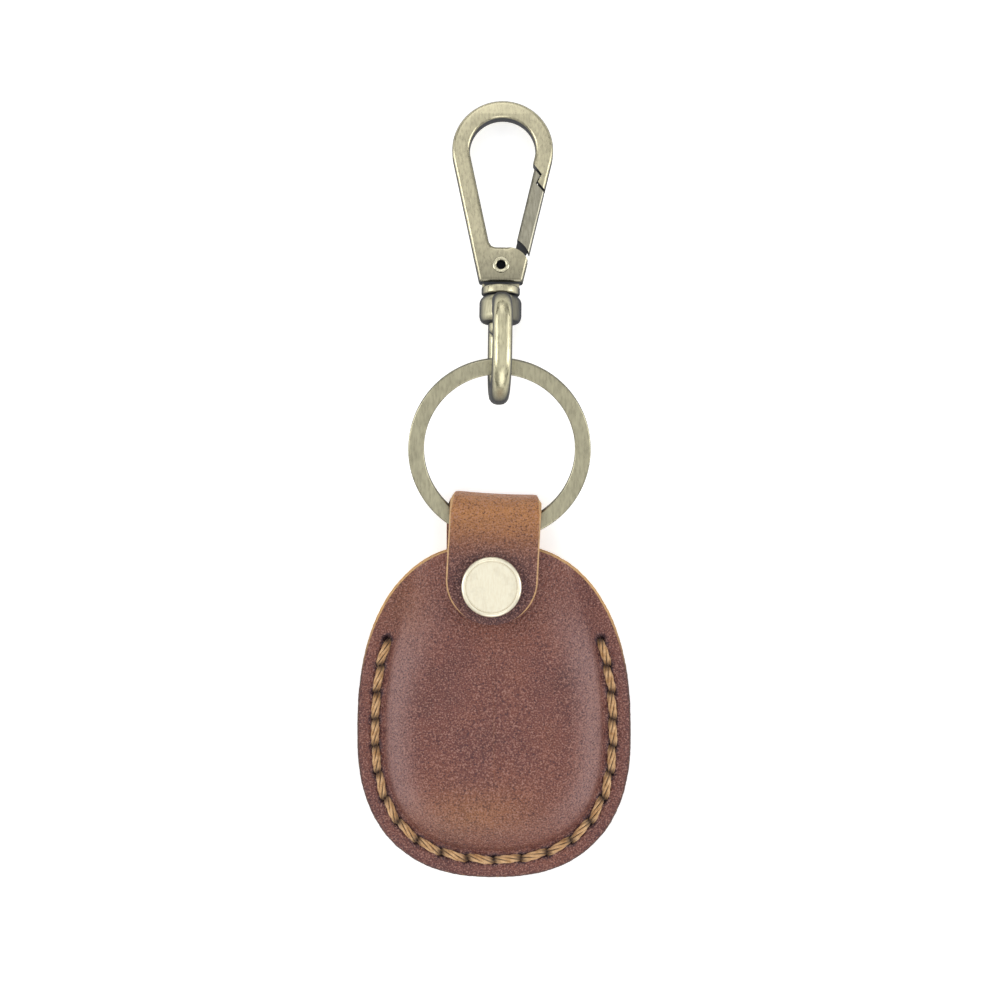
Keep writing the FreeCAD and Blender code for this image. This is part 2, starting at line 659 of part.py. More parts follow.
def gate():
    """The gate: a bar with a stepped nose, and a thin tongue that turns on the rivet."""
    outline = teardrop(CROWN_OUTER_RADIUS, FLANGE_TOP).cut(teardrop(bar_inner_radius(), GATE_RIVET_Y - 1))
    bar = softened(slab(outline, GATE_THICKNESS), GATE_EDGE, on_face(GATE_THICKNESS / 2))
    rivet = Vector(0, GATE_RIVET_Y, 0)
    bar = bar.common(gate_region(GATE_GAP, GATE_RIVET_Y - SLACK, rivet, GATE_SHOULDER_RADIUS))
    tongue_foot = Vector(0, GATE_RIVET_Y, -TONGUE_THICKNESS / 2)
    tongue = Part.makeCylinder(TONGUE_RADIUS, TONGUE_THICKNESS, tongue_foot)
    shoulder_y = GATE_RIVET_Y + GATE_SHOULDER_RADIUS + SLACK
    arm = [
        Vector(0, TONGUE_FOOT_Y, 0),
        Vector(bar_edge(bar_inner_radius(), TONGUE_FOOT_Y) + 0.1, TONGUE_FOOT_Y, 0),
        Vector(bar_edge(bar_inner_radius(), shoulder_y) + 0.1, shoulder_y, 0),
        Vector(bar_edge(CROWN_OUTER_RADIUS, shoulder_y) - GATE_EDGE, shoulder_y, 0),
        Vector(bar_edge(CROWN_OUTER_RADIUS, TONGUE_FOOT_Y) - GATE_EDGE, TONGUE_FOOT_Y, 0),
        Vector(TONGUE_RADIUS, GATE_RIVET_Y, 0),
        rivet,
    ]
    tongue = tongue.fuse(slab(polygon_face(arm), TONGUE_THICKNESS))
    whole = bar.fuse(tongue)
    hole = bore_cutter(rivet, GATE_RIVET_RADIUS + GATE_HOLE_CLEARANCE)
    floor = TONGUE_THICKNESS / 2 - GATE_SPRING_POCKET_DEPTH
    pocket = Part.makeCylinder(GATE_SPRING_POCKET_RADIUS, TONGUE_THICKNESS, Vector(0, GATE_RIVET_Y, floor))
    return whole.cut(hole).cut(pocket).removeSplitter()


def bar_inner_radius():
    """The crown radius whose tangent is the gate's inner side."""
    return CROWN_OUTER_RADIUS - GATE_WIDTH


def gate_rivet():
    """The rivet that the gate turns on, headed over both cheeks, with a blind hole in its face."""
    half = HOOK_THICKNESS / 2
    high = half + GATE_RIVET_HEAD
    profile = [
        (0, -high),
        (GATE_RIVET_HEAD_RADIUS - 0.1, -high),
        (GATE_RIVET_HEAD_RADIUS, -half),
        (GATE_RIVET_RADIUS, -half),
        (GATE_RIVET_RADIUS, half),
        (GATE_RIVET_HEAD_RADIUS, half),
        (GATE_RIVET_HEAD_RADIUS - 0.1, high),
        (GATE_RIVET_HOLE_RADIUS, high),
        (GATE_RIVET_HOLE_RADIUS, high - GATE_RIVET_HOLE_DEPTH),
        (0, high - GATE_RIVET_HOLE_DEPTH - 0.3),
    ]
    return turned(profile).translated(Vector(0, GATE_RIVET_Y, 0))


def coil_point(turn):
    """A point of the gate spring's middle line, by the angle turned from its start."""
    rise = (2 * GATE_SPRING_WIRE + 0.03) * turn / (2 * math.pi)
    return Vector(GATE_SPRING_RADIUS * math.cos(turn), GATE_SPRING_RADIUS * math.sin(turn), rise)


def gate_spring():
    """The coil spring round the rivet, in the tongue's pocket, wound as a chain of rising arcs."""
    step = 2 * math.pi * GATE_SPRING_TURNS / GATE_SPRING_ARCS
    arcs = [
        Part.Arc(coil_point(n * step), coil_point((n + 0.5) * step), coil_point((n + 1) * step)).toShape()
        for n in range(GATE_SPRING_ARCS)
    ]
    start = coil_point(0)
    section = Part.Wire(Part.Circle(start, coil_point(0.01) - start, GATE_SPRING_WIRE).toShape())
    coil = Part.Wire(arcs).makePipeShell([section], True, False, 2)
    floor = TONGUE_THICKNESS / 2 - GATE_SPRING_POCKET_DEPTH + GATE_SPRING_WIRE + 0.02
    return coil.translated(Vector(0, GATE_RIVET_Y, floor))


def build():
    """Every piece of the holder, by name, in its place."""
    holes = stitch_holes()
    chain = chain_placement()
    pieces = {
        "back_leaf": back_leaf(holes),
        "front_leaf": front_leaf(holes),
        "front_stitches": front_stitches(holes),
        "back_stitches": back_stitches(holes),
        "snap_stud": snap_stud(),
        "snap_post": snap_post(),
        "strap_flap": strap_flap(),
        "snap_cap": snap_cap(),
        "snap_socket": snap_socket(),
        "snap_spring": snap_spring(),
        "key_ring": placed(key_ring(), ring_placement()),
    }
    for name, maker in (
        ("swivel_eye", swivel_eye),
        ("swivel_pin", swivel_pin),
        ("hook_body", hook_body),
        ("gate", gate),
        ("gate_rivet", gate_rivet),
        ("gate_spring", gate_spring),
    ):
        pieces[name] = placed(maker(), chain)
    return pieces


def main():
    """Write each piece to its own STEP file."""
    os.makedirs("parts", exist_ok=True)
    for name, shape in build().items():
        shape.exportStep(f"parts/{name}.step")
        print(f"{name}: {len(shape.Solids)} solids, {shape.Volume:.2f} mm3, valid {shape.isValid()}")


if __name__ == "__main__":
    main()
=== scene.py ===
"""Looks of a leather pick holder with a key ring and a swivel snap hook, lying on its back.

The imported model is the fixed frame: every piece is placed from its boxes and joints. Mesh work
is in millimetres in the frame's axes, and turned to metres when a piece is made.
"""

import json
import logging
import math
from dataclasses import dataclass, field
from enum import Enum
from typing import Callable, Sequence

import bmesh
import bpy
import numpy as np
from mathutils import Matrix, Vector
from mathutils.kdtree import KDTree


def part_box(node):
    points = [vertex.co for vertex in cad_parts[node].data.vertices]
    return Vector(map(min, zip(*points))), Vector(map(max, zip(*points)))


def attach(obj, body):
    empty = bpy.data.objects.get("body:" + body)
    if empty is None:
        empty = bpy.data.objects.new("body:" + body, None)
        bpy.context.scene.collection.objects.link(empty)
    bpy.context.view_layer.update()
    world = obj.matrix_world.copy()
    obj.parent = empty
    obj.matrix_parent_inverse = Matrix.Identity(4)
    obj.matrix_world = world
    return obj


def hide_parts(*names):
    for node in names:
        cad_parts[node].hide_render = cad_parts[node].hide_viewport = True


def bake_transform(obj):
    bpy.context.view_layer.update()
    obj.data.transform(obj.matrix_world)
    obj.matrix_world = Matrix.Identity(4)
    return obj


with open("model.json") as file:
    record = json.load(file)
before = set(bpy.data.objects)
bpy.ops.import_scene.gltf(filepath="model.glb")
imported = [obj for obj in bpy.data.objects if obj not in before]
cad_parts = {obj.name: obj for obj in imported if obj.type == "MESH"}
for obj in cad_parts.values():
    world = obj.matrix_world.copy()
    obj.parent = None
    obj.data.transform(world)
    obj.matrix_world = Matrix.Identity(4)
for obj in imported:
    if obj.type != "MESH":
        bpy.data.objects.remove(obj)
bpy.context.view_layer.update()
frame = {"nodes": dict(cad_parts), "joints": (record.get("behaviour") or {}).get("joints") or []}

logging.basicConfig(level=logging.INFO, format="%(message)s")
LOG = logging.getLogger("pick_holder")

MM = 0.001
TAU = 2 * math.pi
Array = np.ndarray
Loop = list[tuple[float, float]]
Faces = list[tuple[int, ...]]
Height = Callable[[Array], Array]
Socket = bpy.types.NodeSocket


# ---------------------------------------------------------------------------
# Frame helpers
# ---------------------------------------------------------------------------


def joint(name: str) -> dict:
    """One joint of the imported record, by name."""
    return next(item for item in frame["joints"] if item["name"] == name)


def box_mm(node: str) -> tuple[Array, Array]:
    """A CAD node's lowest and highest corners, in millimetres."""
    low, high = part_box(node)
    return np.array(low) / MM, np.array(high) / MM


@dataclass(frozen=True)
class Axes:
    """A right-handed set of axes with an origin, in millimetres."""

    origin: Array
    across: Array
    along: Array
    up: Array

    def place(self, points: Array) -> Array:
        """Local points as frame points.

        Args:
            points: rows of across, along and up.
        Returns:
            The same points in the frame's axes.
        """
        turn = np.stack([self.across, self.along, self.up])
        return self.origin + np.asarray(points, float) @ turn

    def standing(self) -> "Axes":
        """The same axes stood on end: up runs where along ran."""
        return Axes(self.origin, self.across, -self.up, self.along)


def chain_axes() -> Axes:
    """The snap hook's axes, from the frame's joints.

    Returns:
        Axes that run along the swivel, with up out of the hook's face.
    """
    along = np.array(joint("hook_swivel")["axis"])
    up = np.array(joint("gate_open")["axis"])
    return Axes(np.array(joint("hook_swivel")["pos_m"]) / MM, np.cross(along, up), along, up)


def ring_axes() -> tuple[Axes, float]:
    """The key ring's place, from its hinge in the fold to the eye's hinge on it.

    Returns:
        The ring's axes and its mean radius.
    """
    low = np.array(joint("ring_lift")["pos_m"]) / MM
    high = np.array(joint("eye_swing")["pos_m"]) / MM
    span = float(np.linalg.norm(high - low))
    along = (high - low) / span
    across = np.array([1.0, 0.0, 0.0])
    return Axes((low + high) / 2, across, along, np.cross(across, along)), span / 2


# ---------------------------------------------------------------------------
# Mesh helpers
# ---------------------------------------------------------------------------


def new_piece(name: str, points: Array, faces: Sequence[Sequence[int]]) -> bpy.types.Object:
    """A smooth mesh object from points in millimetres.

    Args:
        name: the piece's name.
        points: rows of x, y and z in the frame's axes.
        faces: corner numbers of each face.
    Returns:
        The new object, linked to the scene.
    """
    mesh = bpy.data.meshes.new(name)
    mesh.from_pydata((np.asarray(points, float) * MM).tolist(), [], [list(f) for f in faces])
    mesh.validate()
    piece = bpy.data.objects.new(name, mesh)
    bpy.context.scene.collection.objects.link(piece)
    tidy_surface(piece)
    return piece


def tidy_surface(piece: bpy.types.Object, sharp_degrees: float = 40.0) -> None:
    """Point all normals outwards and shade smooth.

    Args:
        piece: the mesh object.
        sharp_degrees: edges that turn by more than this stay sharp.
    """
    work = bmesh.new()
    work.from_mesh(piece.data)
    bmesh.ops.recalc_face_normals(work, faces=work.faces)
    work.to_mesh(piece.data)
    work.free()
    piece.data.shade_smooth()
    piece.data.set_sharp_from_angle(angle=math.radians(sharp_degrees))


def add_detail(piece: bpy.types.Object, name: str, values: Array) -> None:
    """Store one number for each vertex, for the piece's material to read."""
    layer = piece.data.attributes.new(name, "FLOAT", "POINT")
    layer.data.foreach_set("value", np.asarray(values, np.float32))


def grid_faces(rows: int, columns: int, closed: bool, first: int = 0) -> list[tuple[int, ...]]:
    """The quads of a grid of vertices numbered row by row.

    Args:
        rows: number of rows.
        columns: vertices in each row.
        closed: whether each row closes on itself.
        first: number of the grid's first vertex.
    Returns:
        The corner numbers of each quad.
    """
    faces = []
    for row in range(rows - 1):
        for column in range(columns if closed else columns - 1):
            here = first + row * columns + column
            beside = first + row * columns + (column + 1) % columns
            faces.append((here, beside, beside + columns, here + columns))
    return faces


def sweep(sections: Array, caps: bool = True) -> tuple[Array, list[tuple[int, ...]]]:
    """A skin over closed sections, with flat ends.

    Args:
        sections: points of each section, shaped (sections, corners, 3).
        caps: whether the two ends are closed.
    Returns:
        The points and the faces.
    """
    count, corners = sections.shape[:2]
    faces = grid_faces(count, corners, True)
    if caps:
        faces.append(tuple(range(corners))[::-1])
        faces.append(tuple((count - 1) * corners + n for n in range(corners)))
    return sections.reshape(-1, 3), faces


def turned(name: str, axes: Axes, profile: Loop, segments: int = 96) -> bpy.types.Object:
    """A solid turned about the up axis from a closed profile of (radius, height).

    Args:
        name: the piece's name.
        axes: where the solid stands.
        profile: the corners, closed; those on the axis have radius 0.
        segments: steps round the axis.
    Returns:
        The new object.
    """
    angle = np.arange(segments) * TAU / segments
    ring = np.array(profile, float)
    across = ring[:, 0][None, :] * np.cos(angle)[:, None]
    along = ring[:, 0][None, :] * np.sin(angle)[:, None]
    up = np.broadcast_to(ring[:, 1], across.shape)
    points = axes.place(np.stack([across, along, up], -1).reshape(-1, 3))
    corners = len(profile)
    faces = []
    for step in range(segments):
        for n in range(corners):
            m, beyond = (n + 1) % corners, (step + 1) % segments
            here, there = step * corners, beyond * corners
            faces.append((here + n, there + n, there + m, here + m))
    piece = new_piece(name, points, faces)
    work = bmesh.new()
    work.from_mesh(piece.data)
    bmesh.ops.remove_doubles(work, verts=work.verts, dist=1e-7)
    bmesh.ops.dissolve_degenerate(work, edges=work.edges, dist=1e-7)
    work.to_mesh(piece.data)
    work.free()
    tidy_surface(piece, 35.0)
    return piece


def rounded(corners: Loop, radius: float, steps: int = 5) -> Loop:
    """An open profile with each inner corner turned into a short curve.

    Args:
        corners: the profile's points.
        radius: how far each curve starts from its corner, at most.
        steps: points in each curve.
    Returns:
        The finer profile.
    """
    result = [corners[0]]
    for before, corner, after in zip(corners, corners[1:], corners[2:]):
        b, c, a = (np.array(p, float) for p in (before, corner, after))
        reach = min(radius, np.linalg.norm(b - c) / 2, np.linalg.norm(a - c) / 2)
        start = c + (b - c) / np.linalg.norm(b - c) * reach
        end = c + (a - c) / np.linalg.norm(a - c) * reach
        for share in np.linspace(0, 1, steps):
            point = start * (1 - share) ** 2 + 2 * c * share * (1 - share) + end * share**2
            result.append((float(point[0]), float(point[1])))
    result.append(corners[-1])
    return result


def plate(
    name: str, axes: Axes, loops: Sequence[Loop], thickness: float, edge: float, across_plane: bool = False
) -> bpy.types.Object:
    """A flat plate with rounded edges, cut to an outline with its holes.

    Args:
        name: the piece's name.
        axes: the plate's own axes; it lies half above and half below their origin.
        loops: the outline and the holes, as closed loops of points.
        thickness: the plate's thickness.
        edge: the size of the rounded edge.
        across_plane: True where the loops hold (along, up), so that the plate stands on edge.
    Returns:
        The new object.
    """
    curve = bpy.data.curves.new(name, "CURVE")
    curve.dimensions = "2D"
    curve.fill_mode = "BOTH"
    curve.extrude = thickness / 2 - edge
    curve.bevel_depth = edge
    curve.bevel_resolution = 3
    curve.offset = -edge
    for loop in loops:
        spline = curve.splines.new("POLY")
        spline.points.add(len(loop) - 1)
        spline.points.foreach_set("co", [v for x, y in loop for v in (x, y, 0.0, 1.0)])
        spline.use_cyclic_u = True
    source = bpy.data.objects.new(name + "_outline", curve)
    mesh = bpy.data.meshes.new_from_object(source)
    points = np.array([v.co for v in mesh.vertices])
    if across_plane:
        points = points[:, [2, 0, 1]]
    faces = [tuple(p.vertices) for p in mesh.polygons]
    bpy.data.objects.remove(source)
    bpy.data.curves.remove(curve)
    bpy.data.meshes.remove(mesh)
    piece = new_piece(name, axes.place(points), faces)
    work = bmesh.new()
    work.from_mesh(piece.data)
    bmesh.ops.remove_doubles(work, verts=work.verts, dist=2e-6)
    work.to_mesh(piece.data)
    work.free()
    tidy_surface(piece, 30.0)
    return piece


class Join(Enum):
    """How two solids are put together."""

    CUT = "DIFFERENCE"
    FUSE = "UNION"
    KEEP_SHARED = "INTERSECT"


def combine(piece: bpy.types.Object, other: bpy.types.Object, how: Join) -> bpy.types.Object:
    """Put two solids together, and drop the second.

    Args:
        piece: the solid that stays.
        other: the cutter, or the solid that is added.
        how: cut, fuse, or keep only what both share.
    Returns:
        The changed solid.
    """
    change = piece.modifiers.new("join", "BOOLEAN")
    change.object = other
    change.operation = how.value
    change.solver = "EXACT"
    depsgraph = bpy.context.evaluated_depsgraph_get()
    mesh = bpy.data.meshes.new_from_object(piece.evaluated_get(depsgraph))
    piece.modifiers.clear()
    piece.data = mesh
    bpy.data.objects.remove(other)
    tidy_surface(piece, 30.0)
    return piece


# ---------------------------------------------------------------------------
# Materials
# ---------------------------------------------------------------------------


def linear(colour: str) -> tuple[float, float, float, float]:
    """A linear colour from an sRGB one.

    Args:
        colour: six hex digits, such as "8a5c3c".
    Returns:
        Red, green, blue and alpha.
    """
    parts = [int(colour[n : n + 2], 16) / 255 for n in (0, 2, 4)]
    red, green, blue = (p / 12.92 if p <= 0.04045 else ((p + 0.055) / 1.055) ** 2.4 for p in parts)
    return (red, green, blue, 1.0)


class Kind(Enum):
    """The kinds of shader node that the materials use."""

    SHADER = "ShaderNodeBsdfPrincipled"
    OUTPUT = "ShaderNodeOutputMaterial"
    COORDINATES = "ShaderNodeTexCoord"
    ATTRIBUTE = "ShaderNodeAttribute"
    MAPPING = "ShaderNodeMapping"
    SPLIT = "ShaderNodeSeparateXYZ"
    NOISE = "ShaderNodeTexNoise"
    CELLS = "ShaderNodeTexVoronoi"
    RAMP = "ShaderNodeValToRGB"
    RANGE = "ShaderNodeMapRange"
    MIX = "ShaderNodeMix"
    MATH = "ShaderNodeMath"
    BUMP = "ShaderNodeBump"


def add_node(
    tree: bpy.types.NodeTree, kind: Kind, settings: dict | None = None, **links: Socket
) -> bpy.types.Node:
    """Add one node to a tree.

    Args:
        tree: the node tree.
        kind: the node's kind.
        settings: values of the node itself, or of its input sockets by name or number.
        links: for input "n3" or a name with underscores for spaces, the socket to link from.
    Returns:
        The new node.
    """
    node = tree.nodes.new(kind.value)
    for key, value in (settings or {}).items():
        if isinstance(key, int) or key in node.inputs:
            node.inputs[key].default_value = value
        else:
            setattr(node, key, value)
    for key, socket in links.items():
        target = int(key[1:]) if key[0] == "n" and key[1:].isdigit() else key.replace("_", " ")
        tree.links.new(socket, node.inputs[target])
    return node


def carried(low: float, high: float, to_low: float, to_high: float) -> dict[str, float]:
    """Settings that carry a value from one range to another, held at its ends."""
    return {"From Min": low, "From Max": high, "To Min": to_low, "To Max": to_high}


def cloudy(size_mm: float, detail: float = 3.0, roughness: float = 0.5) -> dict[str, float]:
    """Settings of a cloudy pattern whose features are about a size in millimetres."""
    return {"Scale": 1.0 / (size_mm * MM), "Detail": detail, "Roughness": roughness}


def laid_over(colour: str) -> dict[str | int, object]:
    """Settings that lay an sRGB hex colour over the one that is linked in."""
    return {"data_type": "RGBA", "blend_type": "MIX", 7: linear(colour)}


def new_material(name: str) -> tuple[bpy.types.Material, bpy.types.NodeTree, bpy.types.Node]:
    """An empty node material with its main shader joined to the output.

    Args:
        name: the material's name.
    Returns:
        The material, its node tree and its main shader.
    """
    material = bpy.data.materials.new(name)
    material.use_nodes = True
    tree = material.node_tree
    tree.nodes.clear()
    shader = add_node(tree, Kind.SHADER)
    add_node(tree, Kind.OUTPUT, Surface=shader.outputs[0])
    return material, tree, shader


@dataclass(frozen=True)
class PullUpLeather:
    """Crazy-horse cowhide: vegetable tanned, hot-stuffed with wax and oil, aniline dyed.

    To the eye it is a cloudy brown with a fine speckled grain and a waxy, broken sheen. The wax
    is pushed aside and the hide turns grey-brown where it is drawn over the bulge, with a painted
    sheen on the bulge's slopes; it turns tan where it is folded, and dark purple-brown where it is
    pressed, with painted shade in the stitch holes, along the seam and round the snap's dimple.
    """

    name: str = "pull_up_cowhide"
    deep: str = "552a25"
    body: str = "743f35"
    lively: str = "844a36"
    # Grey-brown of leather drawn over the bulge, also used as a painted sheen on its slopes.
    drawn_and_sheen: str = "a07f7c"
    folded: str = "bd8046"
    # Dark purple-brown of pressed leather and of the pores, also used as painted shade in the stitch holes,
    # the seam and round the snap.
    pressed_and_shaded: str = "38202a"
    speckle: str = "ac8072"
    # The pores of cowhide are about 0.1 mm wide: grain and speckle are drawn coarser, to show.
    grain_mm: float = 0.5
    speckle_mm: float = 0.27
    mottle_mm: float = 1.8
    crease_mm: float = 3.2
    cloud_mm: float = 10.0
    roughness: float = 0.43
    ior: float = 1.5

    def material(self) -> bpy.types.Material:
        """Build the node material.

        Returns:
            The material.
        """
        material, tree, shader = new_material(self.name)
        place = add_node(tree, Kind.COORDINATES).outputs["Object"]
        clouds, mottle, fine, creases = (
            add_node(tree, Kind.NOISE, pattern, Vector=place).outputs[0]
            for pattern in (
                cloudy(self.cloud_mm, 4.0, 0.55),
                cloudy(self.mottle_mm, 5.0, 0.7),
                cloudy(self.speckle_mm, 2.5, 0.65),
                cloudy(self.crease_mm, 6.0, 0.75),
            )
        )
        grain = add_node(tree, Kind.CELLS, {"Scale": 1 / (self.grain_mm * MM)}, Vector=place).outputs[0]
        ramp = add_node(tree, Kind.RAMP, Fac=clouds)
        ramp.color_ramp.elements.new(0.5)
        stops = ((0.22, self.deep), (0.45, self.body), (0.75, self.lively))
        for element, (where, tone) in zip(ramp.color_ramp.elements, stops):
            element.position = where
            element.color = linear(tone)
        colour = ramp.outputs[0]
        # The bulge's slopes get a painted sheen, and the stitch holes, the seam and a ring round the snap get
        # painted shade.
        for name, tone in (("stretch_and_sheen", self.drawn_and_sheen), ("fold", self.folded), ("press_and_shade", self.pressed_and_shaded)):
            share = add_node(tree, Kind.ATTRIBUTE, {"attribute_name": name}).outputs["Fac"]
            colour = add_node(tree, Kind.MIX, laid_over(tone), n0=share, n6=colour).outputs[2]
        for pattern, levels, tone in (
            (mottle, carried(0.45, 0.75, 0.0, 0.35), self.deep),
            (fine, carried(0.33, 0.48, 0.9, 0.0), self.pressed_and_shaded),
            (fine, carried(0.52, 0.64, 0.0, 0.75), self.speckle),
        ):
            share = add_node(tree, Kind.RANGE, levels, Value=pattern).outputs[0]
            colour = add_node(tree, Kind.MIX, laid_over(tone), n0=share, n6=colour).outputs[2]
        tree.links.new(colour, shader.inputs["Base Color"])
        levels = carried(0.3, 0.7, self.roughness - 0.08, self.roughness + 0.12)
        rough = add_node(tree, Kind.RANGE, levels, Value=mottle).outputs[0]
        tree.links.new(rough, shader.inputs["Roughness"])
        links = {}
        for height, strength, depth_mm in ((grain, 0.9, 0.26), (fine, 1.0, 0.13), (creases, 0.35, 0.3)):
            settings = {"Strength": strength, "Distance": depth_mm * MM}
            links["Normal"] = add_node(tree, Kind.BUMP, settings, Height=height, **links).outputs[0]
        tree.links.new(links["Normal"], shader.inputs["Normal"])
        shader.inputs["IOR"].default_value = self.ior
        shader.inputs["Sheen Weight"].default_value = 0.04
        shader.inputs["Sheen Roughness"].default_value = 0.5
        return material


@dataclass(frozen=True)
class CutEdge:
    """The cut edge of the same hide: fibres of undyed tan, burnished dark where hands rub it.

    To the eye it is a thin pale line at the top of the pouch that turns to dark brown round
    the sewn part, with short fibres that run along it.
    """

    name: str
    raw: str = "cfa266"
    dark: str = "4a2a20"
    from_y_mm: float = 6.0
    to_y_mm: float = 16.0
    patch_mm: float = 1.4
    # Bundles of hide fibre are under 0.1 mm thick: drawn coarser, to show.
    fibre_mm: float = 0.18

    def material(self) -> bpy.types.Material:
        """Build the node material.

        Returns:
            The material.
        """
        material, tree, shader = new_material(self.name)
        place = add_node(tree, Kind.COORDINATES).outputs["Object"]
        height = add_node(tree, Kind.SPLIT, Vector=place).outputs[1]
        patches = add_node(tree, Kind.NOISE, cloudy(self.patch_mm, 5.0, 0.7), Vector=place).outputs[0]
        fibres = add_node(tree, Kind.NOISE, cloudy(self.fibre_mm, 2.0), Vector=place).outputs[0]
        turn = carried(self.from_y_mm * MM, self.to_y_mm * MM, 0.0, 1.0)
        share = add_node(tree, Kind.RANGE, turn, Value=height).outputs[0]
        tones = []
        for levels, under, over in (
            (carried(0.5, 0.75, 0.0, 0.6), self.raw, self.dark),
            (carried(0.58, 0.75, 0.0, 0.8), self.dark, self.raw),
        ):
            worn = add_node(tree, Kind.RANGE, levels, Value=patches).outputs[0]
            tones.append(add_node(tree, Kind.MIX, {**laid_over(over), 6: linear(under)}, n0=worn).outputs[2])
        raw, dark = tones
        colour = add_node(tree, Kind.MIX, {"data_type": "RGBA"}, n0=share, n6=dark, n7=raw).outputs[2]
        lines = add_node(tree, Kind.RANGE, carried(0.4, 0.7, 0.0, 0.4), Value=fibres).outputs[0]
        colour = add_node(tree, Kind.MIX, laid_over(self.dark), n0=lines, n6=colour).outputs[2]
        tree.links.new(colour, shader.inputs["Base Color"])
        links = {}
        for pattern, strength, depth_mm in ((patches, 0.7, 0.15), (fibres, 0.6, 0.08)):
            settings = {"Strength": strength, "Distance": depth_mm * MM}
            links["Normal"] = add_node(tree, Kind.BUMP, settings, Height=pattern, **links).outputs[0]
        tree.links.new(links["Normal"], shader.inputs["Normal"])
        shader.inputs["Roughness"].default_value = 0.8
        return material


@dataclass(frozen=True)
class WaxedThread:
    """Waxed linen thread, five plies laid together with little twist, in golden tan.

    To the eye each ply is a shiny rounded cord; the plies are painted dark between them and
    where they go into the holes, as shade.
    """

    name: str = "waxed_linen_thread"
    light: str = "e0b684"
    body: str = "b4844f"
    # Dark of the fibre lines, and painted shade between the plies and at the holes.
    dark: str = "3c2012"
    tone_mm: float = 1.1
    # Linen fibres are a few hundredths of a millimetre thick: drawn coarser, to show.
    fibre_mm: float = 0.12

    def material(self) -> bpy.types.Material:
        """Build the node material.

        Returns:
            The material.
        """
        material, tree, shader = new_material(self.name)
        place = add_node(tree, Kind.COORDINATES).outputs["Object"]
        tone = add_node(tree, Kind.NOISE, cloudy(self.tone_mm), Vector=place).outputs[0]
        fibres = add_node(tree, Kind.NOISE, cloudy(self.fibre_mm, 2.0), Vector=place).outputs[0]
        ramp = add_node(tree, Kind.RAMP, Fac=tone)
        stops = ((0.35, self.body), (0.65, self.light))
        for element, (where, shade) in zip(ramp.color_ramp.elements, stops):
            element.position = where
            element.color = linear(shade)
        levels = carried(0.5, 0.75, 0.0, 0.55)
        lines = add_node(tree, Kind.RANGE, levels, Value=fibres).outputs[0]
        # Painted shade between the plies and where the thread goes into the holes.
        crease_shade = add_node(tree, Kind.ATTRIBUTE, {"attribute_name": "crease_shade"}).outputs["Fac"]
        colour = ramp.outputs[0]
        for share in (lines, crease_shade):
            colour = add_node(tree, Kind.MIX, laid_over(self.dark), n0=share, n6=colour).outputs[2]
        tree.links.new(colour, shader.inputs["Base Color"])
        bump = add_node(tree, Kind.BUMP, {"Strength": 0.5, "Distance": 0.05 * MM}, Height=fibres)
        tree.links.new(bump.outputs[0], shader.inputs["Normal"])
        shader.inputs["Roughness"].default_value = 0.48
        shader.inputs["Sheen Weight"].default_value = 0.25
        return material


